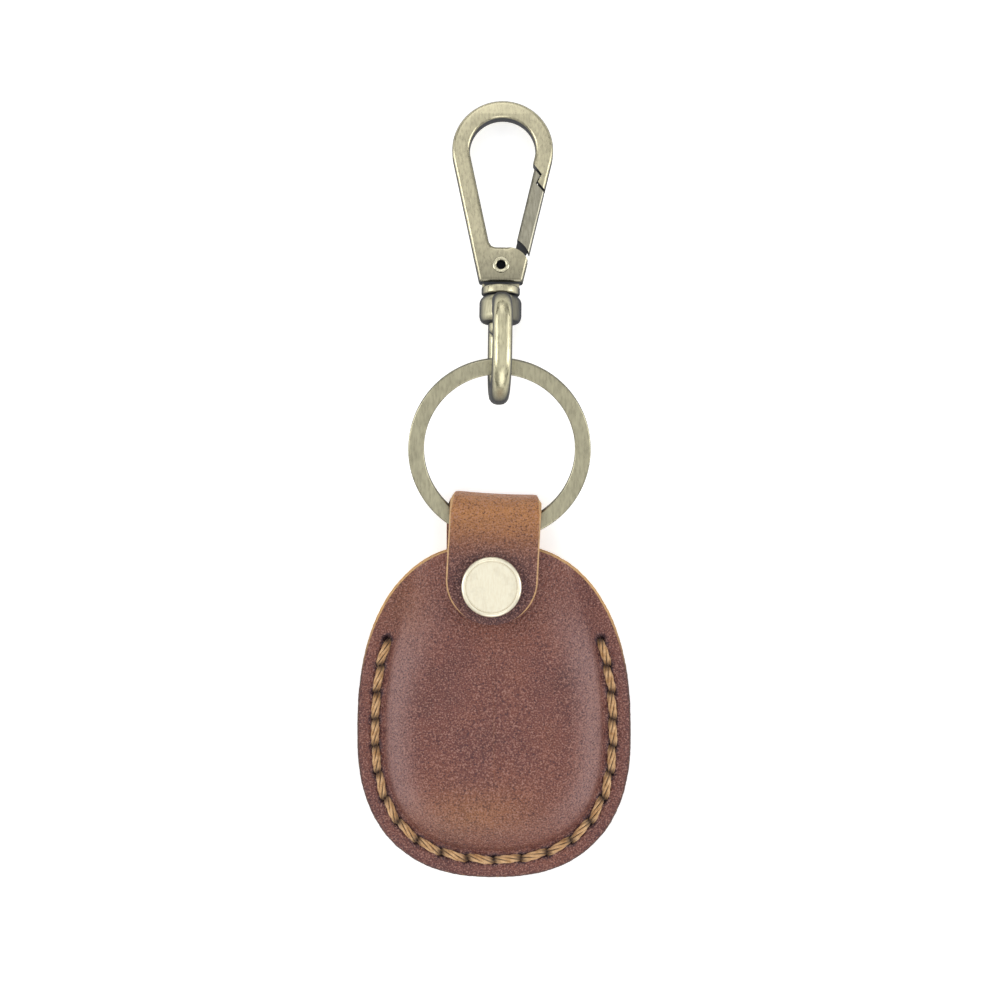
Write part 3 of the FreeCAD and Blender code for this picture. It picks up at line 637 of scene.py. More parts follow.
@dataclass(frozen=True)
class BrushedBrass:
    """Brass plating, darkened with sulphide and then brushed back along one way.

    To the eye the faces are a pale olive-gold satin with fine lines, and the walls and corners
    that the brush can't reach stay blue-black and matt with patina. The walls, recesses and the
    hook's foot also carry painted shade.
    """

    name: str
    bright: str
    body: str
    patina_and_shade: str
    wall_patina_and_shade: float
    # Brush lines are a few hundredths of a millimetre wide: drawn coarser, to show.
    line_mm: tuple[float, float, float]
    roughness: float
    foot_stops: tuple[tuple[float, float], ...] = ()
    cloud_mm: float = 2.5
    step_mm: float = 0.001

    def material(self) -> bpy.types.Material:
        """Build the node material.

        Returns:
            The material.
        """
        material, tree, shader = new_material(self.name)
        coordinates = add_node(tree, Kind.COORDINATES)
        place = coordinates.outputs["Object"]
        scale = Vector([1 / (size * MM) for size in self.line_mm])
        lined = add_node(tree, Kind.MAPPING, {"Scale": scale}, Vector=place).outputs[0]
        lines = add_node(tree, Kind.NOISE, {"Scale": 1.0, "Detail": 2.0}, Vector=lined).outputs[0]
        cloud = add_node(tree, Kind.NOISE, cloudy(self.cloud_mm, 4.0, 0.6), Vector=place).outputs[0]
        up = add_node(tree, Kind.SPLIT, Vector=coordinates.outputs["Normal"]).outputs[2]
        side = add_node(tree, Kind.MATH, {"operation": "ABSOLUTE"}, n0=up).outputs[0]
        # Walls are drawn dark and matt: patina where the brush can't reach, and painted shade on faces that
        # turn away from the light above.
        wall = add_node(tree, Kind.RANGE, carried(0.34, 0.72, self.wall_patina_and_shade, 0.0), Value=side).outputs[0]
        # Painted shade in the rivet's hole, the hook's neck and the gate's tongue, and the darker sides of
        # the eye's boss.
        recess = add_node(tree, Kind.ATTRIBUTE, {"attribute_name": "recess"}).outputs["Fac"]
        brushed = add_node(tree, Kind.RANGE, carried(0.35, 0.65, 0.0, 1.0), Value=lines).outputs[0]
        tones = {**laid_over(self.bright), 6: linear(self.body)}
        colour = add_node(tree, Kind.MIX, tones, n0=brushed).outputs[2]
        stained = add_node(tree, Kind.RANGE, carried(0.5, 0.85, 0.0, 0.3), Value=cloud).outputs[0]
        shares = [stained, wall, recess] + self.foot_shares(tree, place)
        for share in shares:
            colour = add_node(tree, Kind.MIX, laid_over(self.patina_and_shade), n0=share, n6=colour).outputs[2]
        tree.links.new(colour, shader.inputs["Base Color"])
        layer = add_node(tree, Kind.MATH, {"operation": "MAXIMUM"}, n0=wall, n1=recess).outputs[0]
        metal = add_node(tree, Kind.RANGE, carried(0.0, 1.0, 1.0, 0.05), Value=layer).outputs[0]
        tree.links.new(metal, shader.inputs["Metallic"])
        levels = carried(0.3, 0.7, self.roughness - 0.05, self.roughness + 0.07)
        rough = add_node(tree, Kind.RANGE, levels, Value=lines).outputs[0]
        matt = add_node(tree, Kind.RANGE, carried(0.0, 1.0, 0.0, 0.42), Value=layer).outputs[0]
        rough = add_node(tree, Kind.MATH, {"operation": "ADD"}, n0=rough, n1=matt).outputs[0]
        tree.links.new(rough, shader.inputs["Roughness"])
        shader.inputs["Specular IOR Level"].default_value = 0.2
        bump = add_node(tree, Kind.BUMP, {"Strength": 0.2, "Distance": 0.02 * MM}, Height=lines)
        tree.links.new(bump.outputs[0], shader.inputs["Normal"])
        return material

    def foot_shares(self, tree: bpy.types.NodeTree, place: Socket) -> list[Socket]:
        """How dark the foot of a casting is drawn, band by band along Y: patina, and painted shade.

        Args:
            tree: the node tree.
            place: the socket with each point's place.
        Returns:
            One share for each band between two of the foot's stops.
        """
        along = add_node(tree, Kind.SPLIT, Vector=place).outputs[1]
        shares = []
        for (low, low_share), (high, high_share) in zip(self.foot_stops, self.foot_stops[1:]):
            share = None
            for levels in (
                carried(low * MM, high * MM, low_share, high_share),
                carried((high - self.step_mm) * MM, high * MM, 1.0, 0.0),
                carried((low - self.step_mm) * MM, low * MM, 0.0, 1.0),
            ):
                band = add_node(tree, Kind.RANGE, levels, Value=along).outputs[0]
                both = {"operation": "MULTIPLY"}
                share = add_node(tree, Kind.MATH, both, n0=share, n1=band).outputs[0] if share else band
            shares.append(share)
        return shares


@dataclass(frozen=True)
class SpringSteel:
    """Hard-drawn spring wire: grey, smooth, with faint cloudy tones left by the die."""

    name: str = "drawn_spring_steel"
    body: str = "8c8c8a"
    dark: str = "55544f"
    tone_mm: float = 0.4

    def material(self) -> bpy.types.Material:
        """Build the node material.

        Returns:
            The material.
        """
        material, tree, shader = new_material(self.name)
        place = add_node(tree, Kind.COORDINATES).outputs["Object"]
        tone = add_node(tree, Kind.NOISE, cloudy(self.tone_mm), Vector=place).outputs[0]
        tones = {**laid_over(self.dark), 6: linear(self.body)}
        colour = add_node(tree, Kind.MIX, tones, n0=tone).outputs[2]
        tree.links.new(colour, shader.inputs["Base Color"])
        shader.inputs["Metallic"].default_value = 1.0
        shader.inputs["Roughness"].default_value = 0.35
        return material


@dataclass(frozen=True)
class PaleFloor:
    """An opal acrylic light table: matt white, and lit a little from below so shadows stay pale."""

    name: str = "opal_light_table"
    glow: float = 0.42
    tone_mm: float = 6.0

    def material(self) -> bpy.types.Material:
        """Build the node material.

        Returns:
            The material.
        """
        material, tree, shader = new_material(self.name)
        place = add_node(tree, Kind.COORDINATES).outputs["Object"]
        tone = add_node(tree, Kind.NOISE, cloudy(self.tone_mm, 2.0), Vector=place).outputs[0]
        tones = {**laid_over("f8f8f8"), 6: linear("fbfbfb")}
        colour = add_node(tree, Kind.MIX, tones, n0=tone).outputs[2]
        tree.links.new(colour, shader.inputs["Base Color"])
        shader.inputs["Roughness"].default_value = 0.9
        shader.inputs["Emission Color"].default_value = linear("ffffff")
        shader.inputs["Emission Strength"].default_value = self.glow
        return material


class Finish(Enum):
    """The finishes of the holder, each made once."""

    LEATHER = PullUpLeather()
    POUCH_EDGE = CutEdge("pouch_cut_edge")
    STRAP_EDGE = CutEdge("strap_cut_edge", raw="cfa472", from_y_mm=2.0, to_y_mm=9.0)
    THREAD = WaxedThread()
    RING = BrushedBrass("antique_brass_ring", "bdb89c", "aaa58c", "38352f", 0.9, (0.35, 1.6, 0.5), 0.3)
    EYE = BrushedBrass("antique_brass_eye", "ddd7b5", "c2bc9c", "30323a", 0.95, (0.3, 4.0, 0.3), 0.31)
    # The hook is drawn darker towards its foot: patina, and painted shade where the base curves down into the
    # neck.
    HOOK = BrushedBrass(
        "antique_brass_hook", "d2cbab", "bdb69a", "30323a", 0.97, (0.3, 0.9, 0.3), 0.3,
        ((70.0, 0.9), (70.6, 0.45), (73.5, 0.3), (79.0, 0.0)),
    )
    GATE = BrushedBrass("antique_brass_gate", "aeaa98", "9c9886", "30323a", 0.97, (0.3, 3.0, 0.3), 0.3)
    RIVET = BrushedBrass("antique_brass_rivet", "e6e0c4", "cdc7a9", "24262c", 0.97, (0.2, 0.2, 0.2), 0.25)
    SATIN = BrushedBrass("satin_brass_spun", "fff9e2", "faf2d8", "8a6f42", 0.55, (0.25, 1.2, 0.25), 0.36)
    STEEL = SpringSteel()
    FLOOR = PaleFloor()

    def get(self) -> bpy.types.Material:
        """The finish's material, made the first time it is asked for."""
        return bpy.data.materials.get(self.value.name) or self.value.material()


def dress(piece: bpy.types.Object, *finishes: Finish) -> None:
    """Give a piece its materials.

    Args:
        piece: the object.
        finishes: its finishes, in the order of its face slots.
    """
    piece.data.materials.clear()
    for finish in finishes:
        piece.data.materials.append(finish.get())


def settle(piece: bpy.types.Object, body: str | None, slot: str, *nodes: str) -> None:
    """Tie a finished piece to the frame, and report it.

    Args:
        piece: the finished object.
        body: the body that it rides on, or None where it is tied to none.
        slot: the record's material slot; not used.
        nodes: the CAD nodes that it stands for.
    """
    if body:
        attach(piece, body)
    if nodes:
        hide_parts(*nodes)
    LOG.info("%s: %d faces, stands for %s", piece.name, len(piece.data.polygons), ", ".join(nodes))


def finish_node(node: str, finish: Finish) -> None:
    """Give a CAD node that keeps its shape its finish, and report it."""
    dress(frame["nodes"][node], finish)
    LOG.info("%s: keeps its CAD shape", node)


# ---------------------------------------------------------------------------
# Pouch
# ---------------------------------------------------------------------------


def smooth(value: Array) -> Array:
    """A step from 0 to 1 with soft ends."""
    share = np.clip(value, 0, 1)
    return share * share * (3 - 2 * share)


def ripple(x: Array, y: Array, size: float, seed: float = 0.0) -> Array:
    """A gentle, irregular wave from a few crossed sines.

    Args:
        x: first coordinate of each point.
        y: second coordinate of each point.
        size: rough length of the wave.
        seed: a number that shifts the wave.
    Returns:
        The wave at each point, between -1 and 1.
    """
    a = np.sin((x * 0.91 + y * 0.37) / size * TAU + seed)
    b = np.sin((x * -0.43 + y * 0.83) / (size * 0.71) * TAU + 1.7 * seed + 2.0)
    c = np.sin((x * 0.21 - y * 1.13) / (size * 1.37) * TAU + 0.6 * seed + 4.0)
    return (a + b + c) / 3


def distances(points: Array, line: Array) -> Array:
    """How far points are from a line, on the flat.

    Args:
        points: rows of x and y.
        line: rows of x and y along the line.
    Returns:
        Each point's distance from the nearest point of the line.
    """
    tree = KDTree(len(line))
    for number, (x, y) in enumerate(line):
        tree.insert((x, y, 0.0), number)
    tree.balance()
    return np.array([tree.find((x, y, 0.0))[2] for x, y in points])


@dataclass(frozen=True)
class ThreadLay:
    """How each stitch is laid up, and how many points draw it."""

    stations: int = 26
    sides: int = 8
    plies: int = 5
    ply_radius: float = 0.24
    twist_radius: float = 0.37
    twists: float = 0.5


@dataclass
class Pouch:
    """Two leaves of leather, the front one moulded over the picks, sewn round the lower edge."""

    leather: float = 1.5
    bluntness: float = 2.4
    lower_share: float = 23.7 / 55.2
    pocket_top_extra: float = 14.0
    pocket_taper: float = 0.2
    bulge_foot: float = 4.2
    bulge_slope: float = 7.2
    mouth_slope: float = 7.0
    wall_shift: float = 1.3
    stitch_inset: float = 3.0
    stitch_count: int = 22
    turns: int = 720
    line_points: int = 2400
    mouth_from_y: float = 1.0
    mouth_run: float = 22.0
    bulge_round: float = 2.3
    foot_softness: float = 0.14
    seam_width: float = 0.85
    thread: ThreadLay = field(default_factory=ThreadLay)
    half_width: float = field(init=False)
    length: float = field(init=False)
    top: float = field(init=False)
    stitch_top_y: float = field(init=False)

    def __post_init__(self) -> None:
        """Read the outline's size from the frame."""
        low, high = box_mm("front_leaf")
        self.half_width = float(high[0] - low[0]) / 2
        self.length = float(high[1] - low[1])
        self.top = float(high[2])
        self.stitch_top_y = float(box_mm("front_stitches")[1][1]) - 0.55

    def outline(self, turn: Array, inset: float = 0.0, extra: float = 0.0, taper: float = 0.0) -> Array:
        """Points of the egg outline.

        Args:
            turn: parts of a turn from +X.
            inset: how far inside the outline.
            extra: how much longer the top is.
            taper: how much narrower the top gets.
        Returns:
            Rows of x and y.
        """
        angle = TAU * np.asarray(turn, float)
        upper, lower = self.length * (1 - self.lower_share), self.length * self.lower_share
        height = np.where(np.sin(angle) >= 0, upper + extra, lower)
        power = 2 / self.bluntness
        x = self.half_width * np.sign(np.cos(angle)) * np.abs(np.cos(angle)) ** power
        y = height * np.sign(np.sin(angle)) * np.abs(np.sin(angle)) ** power
        normal_x = np.sign(x) * np.abs(x / self.half_width) ** (self.bluntness - 1) / self.half_width
        normal_y = np.sign(y) * np.abs(y / height) ** (self.bluntness - 1) / height
        size = np.hypot(normal_x, normal_y)
        x = x * (1 - taper * (np.maximum(y, 0) / height) ** 2) - inset * normal_x / size
        y = y - inset * normal_y / size
        return np.stack([x, y + (lower - upper) / 2], -1)

    def pocket_rise(self, points: Array, shift: float = 0.0) -> Array:
        """How far up the bulge points are.

        Args:
            points: rows of x and y.
            shift: how much further in the bulge starts.
        Returns:
            From 0 on the rim to 1 on the flat, for each point.
        """
        turn = np.arange(self.line_points) / self.line_points
        line = self.outline(turn, 0, self.pocket_top_extra, self.pocket_taper)
        mouth = smooth((points[:, 1] - self.mouth_from_y) / self.mouth_run)
        width = self.bulge_slope + self.mouth_slope * mouth
        share = np.clip((distances(points, line) - self.bulge_foot - shift) / width, 0, 1)
        return (1 - (1 - share) ** self.bulge_round) * smooth(share / self.foot_softness)

    def edge_distance(self, points: Array) -> Array:
        """Each point's distance from the cut edge."""
        return distances(points, self.outline(np.arange(self.line_points) / self.line_points))

    def seam(self, samples: int) -> Array:
        """Points along the sewn line, so many between each two holes."""
        holes = self.holes()
        return np.concatenate([np.linspace(a, b, samples, endpoint=False) for a, b in zip(holes, holes[1:])])

    def holes(self) -> Array:
        """The stitch holes, from the top of one side round the bottom to the other.

        Returns:
            Rows of x and y.
        """
        line = self.outline(0.25 + np.arange(2881) / 2880, self.stitch_inset)
        sewn = line[line[:, 1] <= self.stitch_top_y]
        run = np.concatenate([[0], np.cumsum(np.linalg.norm(np.diff(sewn, axis=0), axis=1))])
        places = np.linspace(0, run[-1], self.stitch_count + 1)
        return np.stack([np.interp(places, run, sewn[:, n]) for n in range(2)], -1)

    def rings(self, steps: Array, inset: float, top_inset: float) -> Array:
        """The outline drawn in towards the middle, one ring for each step from 0 to 1.

        Args:
            steps: shares of the way to the middle.
            inset: how far inside the outline the rim stands.
            top_inset: how much further it stands in at the top.
        Returns:
            Points shaped (steps, turns, 2).
        """
        turn = np.arange(self.turns) / self.turns
        rim, inner = self.outline(turn, inset), self.outline(turn, inset + top_inset)
        share = smooth((rim[:, 1:] - 8.0) / 8.0)
        rim = rim * (1 - share) + inner * share
        coarse, fine = ripple(rim[:, 0], rim[:, 1], 4.1), ripple(rim[:, 0], rim[:, 1], 1.1)
        ragged = 1 + (0.03 * coarse + 0.02 * fine) / 25
        rim = rim * ragged[:, None]
        spine = np.stack([np.zeros(self.turns), rim[:, 1] * 0.45], -1)
        return rim[None] * (1 - steps[:, None, None]) + spine[None] * steps[:, None, None]

    def surface_details(self, points: Array) -> tuple[Array, Array, Array]:
        """What the sewing does to a leaf's outer face.

        Args:
            points: rows of x and y.
        Returns:
            How far the leather is pulled down, and how dark it is pressed, with painted shade in the
            holes and the seam, at each point; and each point's distance from the edge.
        """
        line = distances(points, self.seam(12))
        hole = distances(points, self.holes())
        pulled = 0.34 * np.exp(-((line / self.seam_width) ** 2)) + 1.1 * np.exp(-((hole / 0.65) ** 4))
        # The leather is darkened where the seam presses it, with painted shade in the stitch holes and the
        # seam's groove.
        pressed_and_shaded = 0.8 * np.exp(-((line / self.seam_width) ** 4)) + 1.5 * np.exp(-((hole / 1.0) ** 4))
        return pulled, np.clip(pressed_and_shaded, 0, 1), self.edge_distance(points)

    def leaf(
        self, name: str, top: Height, bottom: Height, insets: tuple[float, float], top_inset: float
    ) -> tuple[bpy.types.Object, Array]:
        """A closed leaf between two faces, with its cut edge sloping out from the top.

        Args:
            name: the piece's name.
            top: gives the top face's height at rows of x and y.
            bottom: gives the bottom face's height.
            insets: how far inside the outline the top and the bottom of the cut edge stand.
            top_inset: how much further in both stand at the pouch's top.
        Returns:
            The object and the x and y of its vertices.
        """
        fine = np.concatenate([[0, 0.008, 0.016], np.linspace(0.024, 0.4, 46), np.linspace(0.42, 0.985, 30)])
        coarse = np.linspace(0.985, 0.0, 36)
        upper = self.rings(fine[::-1], insets[0], top_inset)
        lower = self.rings(coarse[::-1], insets[1] + 0.12, top_inset)
        high = top(upper[-1])
        low = bottom(lower[0])
        bands = []
        for share in (0.1, 0.25, 0.45, 0.65, 0.85):
            inset = insets[0] + (insets[1] - insets[0]) * math.sin(min(share / 0.65, 1.0) * math.pi / 2)
            band = self.rings(np.zeros(1), inset, top_inset)[0]
            band = band * (1 + 0.0016 * ripple(band[:, 0], band[:, 1], 1.3, 9 * share)[:, None])
            bands.append(np.column_stack([band, high * (1 - share) + low * share]))
        flat = upper.reshape(-1, 2)
        under = lower.reshape(-1, 2)
        points = np.concatenate(
            [np.column_stack([flat, top(flat)])] + bands + [np.column_stack([under, bottom(under)])]
        )
        rows = len(points) // self.turns
        faces = grid_faces(rows, self.turns, True)
        faces.append(tuple(range(self.turns)))
        faces.append(tuple((rows - 1) * self.turns + n for n in range(self.turns))[::-1])
        piece = new_piece(name, points, faces)
        dress(piece, Finish.LEATHER, Finish.POUCH_EDGE)
        first_band = len(fine) - 1
        row_of = np.arange(len(faces)) // self.turns
        slots = np.where((row_of >= first_band) & (row_of <= first_band + len(bands)), 1, 0)
        slots[-2:] = 0
        piece.data.polygons.foreach_set("material_index", slots.astype(np.int32))
        return piece, points[:, :2]

    def front_top(self, points: Array) -> Array:
        """Height of the front leaf's outer face.

        Args:
            points: rows of x and y.
        Returns:
            The rim, the bulge over the picks, the pulled seam and the rounded edge.
        """
        rim_top = 2 * self.leather
        x, y = points[:, 0], points[:, 1]
        rise = self.pocket_rise(points)
        pulled, _, edge = self.surface_details(points)
        round_over = 0.12 * np.exp(-(((edge - 0.4) / 0.3) ** 2))
        wave = 0.1 * ripple(x, y, 15.0) + 0.05 * ripple(x, y, 5.0, 3.0)
        crown = 0.25 * np.exp(-((x / 9) ** 2 + ((y + 6) / 14) ** 2))
        bulge = (self.top - rim_top - 0.15) * rise
        return rim_top - 0.05 + bulge + rise * (wave + crown) - pulled - round_over

    def front_bottom(self, points: Array) -> Array:
        """Height of the front leaf's inner face, over the pocket."""
        depth = self.top - 2 * self.leather - 0.1
        return self.leather + 0.04 + depth * self.pocket_rise(points, self.wall_shift)

    def back_top(self, points: Array) -> Array:
        """Height of the back leaf's inner face."""
        return self.leather - 0.04 - 0.15 * np.exp(-((self.edge_distance(points) / 0.4) ** 2))

    def back_bottom(self, points: Array) -> Array:
        """Height of the back leaf's outer face, grooved for the stitches."""
        groove = 0.8 * np.exp(-((distances(points, self.seam(8)) / self.seam_width) ** 4))
        return groove + 0.25 * np.exp(-((self.edge_distance(points) / 0.4) ** 2))

    def worn_leaf(
        self, name: str, top: Height, bottom: Height, insets: tuple[float, float], top_inset: float
    ) -> bpy.types.Object:
        """A leaf with its wear marks, painted sheen and painted shade stored for the leather's material.

        Args:
            name: the piece's name.
            top: gives the top face's height at rows of x and y.
            bottom: gives the bottom face's height.
            insets: how far inside the outline the top and the bottom of the cut edge stand.
            top_inset: how much further in both stand at the pouch's top.
        Returns:
            The new object.
        """
        piece, flat = self.leaf(name, top, bottom, insets, top_inset)
        rise = self.pocket_rise(flat)
        _, pressed_and_shaded, edge = self.surface_details(flat)
        # Painted sheen on the bulge's slopes, with the grey-brown of leather drawn over the bulge.
        slope = np.clip(4 * rise * (1 - rise), 0, 1) * smooth((22.0 - flat[:, 1]) / 16.0)
        slope = slope * smooth((flat[:, 1] + 22.0) / 9.0)
        add_detail(piece, "stretch_and_sheen", 0.6 * slope)
        foot = np.exp(-(((flat[:, 0] + 3) / 9) ** 2 + ((flat[:, 1] + 17) / 4) ** 2))
        shoulder = np.exp(-(((flat[:, 0] + 15) / 4) ** 2 + ((flat[:, 1] - 18) / 6) ** 2))
        add_detail(piece, "fold", 0.4 * foot + 0.2 * shoulder)
        rubbed = 0.3 * np.exp(-((edge / 0.8) ** 2)) * smooth((12.0 - flat[:, 1]) / 8.0)
        rubbed = rubbed + 0.1 * smooth((0.3 - rise) / 0.3)
        # Pressed leather, with painted shade in the stitch holes and the seam, and rubbed dark edges.
        add_detail(piece, "press_and_shade", np.clip(pressed_and_shaded + rubbed, 0, 1))
        return piece

    def make_front(self) -> None:
        """The front leaf, moulded over the picks."""
        piece = self.worn_leaf("pouch_front_leaf", self.front_top, self.front_bottom, (0.3, 0.05), 0.1)
        settle(piece, "pouch", "oiled_leather", "front_leaf")

    def make_back(self) -> None:
        """The flat back leaf."""
        piece = self.worn_leaf("pouch_back_leaf", self.back_top, self.back_bottom, (0.12, 0.0), 0.0)
        settle(piece, "pouch", "oiled_leather", "back_leaf")

    def stitch(
        self, start: Array, end: Array, height: float, lift: float, sink: float
    ) -> list[tuple[Array, Faces, Array]]:
        """One stitch between two holes: five plies laid together with half a turn.

        Args:
            start: x and y of the first hole.
            end: x and y of the second hole.
            height: the leather's face.
            lift: how far the thread's middle stands above the face.
            sink: how far it goes down into each hole.
        Returns:
            Points and faces of each ply, and the painted shade on each point, darkest on the ply's
            inner side between the plies.
        """
        lay = self.thread
        along = (end - start) / np.linalg.norm(end - start)
        side = np.array([-along[1], along[0]])
        share = np.linspace(0, 1, lay.stations)
        middle = (start + end) / 2
        turn_side = 1.0 if middle[0] < 2.0 else -1.0
        jitter = 0.3 * float(ripple(middle[:1], middle[1:], 1.7)[0])
        slant = (0.44 + jitter) * turn_side * (0.5 - share)
        lift = lift + 0.25 * jitter * abs(lift)
        flat = start[None] * (1 - share[:, None]) + end[None] * share[:, None] + side[None] * slant[:, None]
        arch = np.clip(np.sin(math.pi * share), 0, 1) ** 0.7
        level = height + lift * arch - sink * (1 - arch)
        centre = np.column_stack([flat, level])
        tangent = np.gradient(centre, axis=0)
        tangent /= np.linalg.norm(tangent, axis=1)[:, None]
        across = np.tile(np.append(side, 0.0), (lay.stations, 1))
        over = np.cross(tangent, across)
        result = []
        for ply in range(lay.plies):
            phase = TAU * (ply / lay.plies + lay.twists * share)
            squeeze = 1 - 0.35 * np.abs(2 * share - 1) ** 4
            offset = lay.twist_radius * squeeze[:, None] * (
                across * np.cos(phase)[:, None] * 1.25 + over * np.sin(phase)[:, None] * 0.8
            )
            corners = (np.arange(lay.sides) * TAU / lay.sides)[None, :, None]
            ring = across[:, None] * np.cos(corners) + over[:, None] * np.sin(corners)
            sections = (centre + offset)[:, None] + ring * lay.ply_radius * squeeze[:, None, None]
            points, faces = sweep(sections)
            depth = np.linalg.norm(sections - centre[:, None], axis=2).reshape(-1)
            # Painted shade on each ply's inner side, between the plies.
            result.append((points, faces, 0.75 * smooth((0.46 - depth) / 0.18)))
        return result

    def make_thread(self, name: str, node: str, height: float, lift: float, sink: float) -> None:
        """All the stitches on one face of the pouch.

        Args:
            name: the piece's name.
            node: the CAD node that it stands for.
            height: the leather's face.
            lift: how far the thread's middle stands above the face.
            sink: how far it goes down into each hole.
        """
        holes = self.holes()
        points, faces, crease_shade = [], [], []
        total = 0
        for start, end in zip(holes, holes[1:]):
            for ply_points, ply_faces, ply_shade in self.stitch(start, end, height, lift, sink):
                points.append(ply_points)
                faces += [tuple(total + n for n in face) for face in ply_faces]
                total += len(ply_points)
                ends = [np.linalg.norm(ply_points[:, :2] - hole, axis=1) for hole in (start, end)]
                near = np.minimum(*ends)
                # Painted shade where the thread goes down into each hole.
                crease_shade.append(np.maximum(ply_shade, 0.97 * np.exp(-((near / 0.72) ** 2))))
        piece = new_piece(name, np.concatenate(points), faces)
        add_detail(piece, "crease_shade", np.concatenate(crease_shade))
        dress(piece, Finish.THREAD)
        settle(piece, "pouch", "waxed_thread", node)

    def make(self) -> None:
        """Every piece of the pouch."""
        self.make_back()
        self.make_front()
        self.make_thread("front_saddle_stitches", "front_stitches", 2 * self.leather - 0.25, 0.36, 0.75)
        self.make_thread("back_saddle_stitches", "back_stitches", 0.75, -0.22, -0.35)


# ---------------------------------------------------------------------------
# Strap and snap
# ---------------------------------------------------------------------------


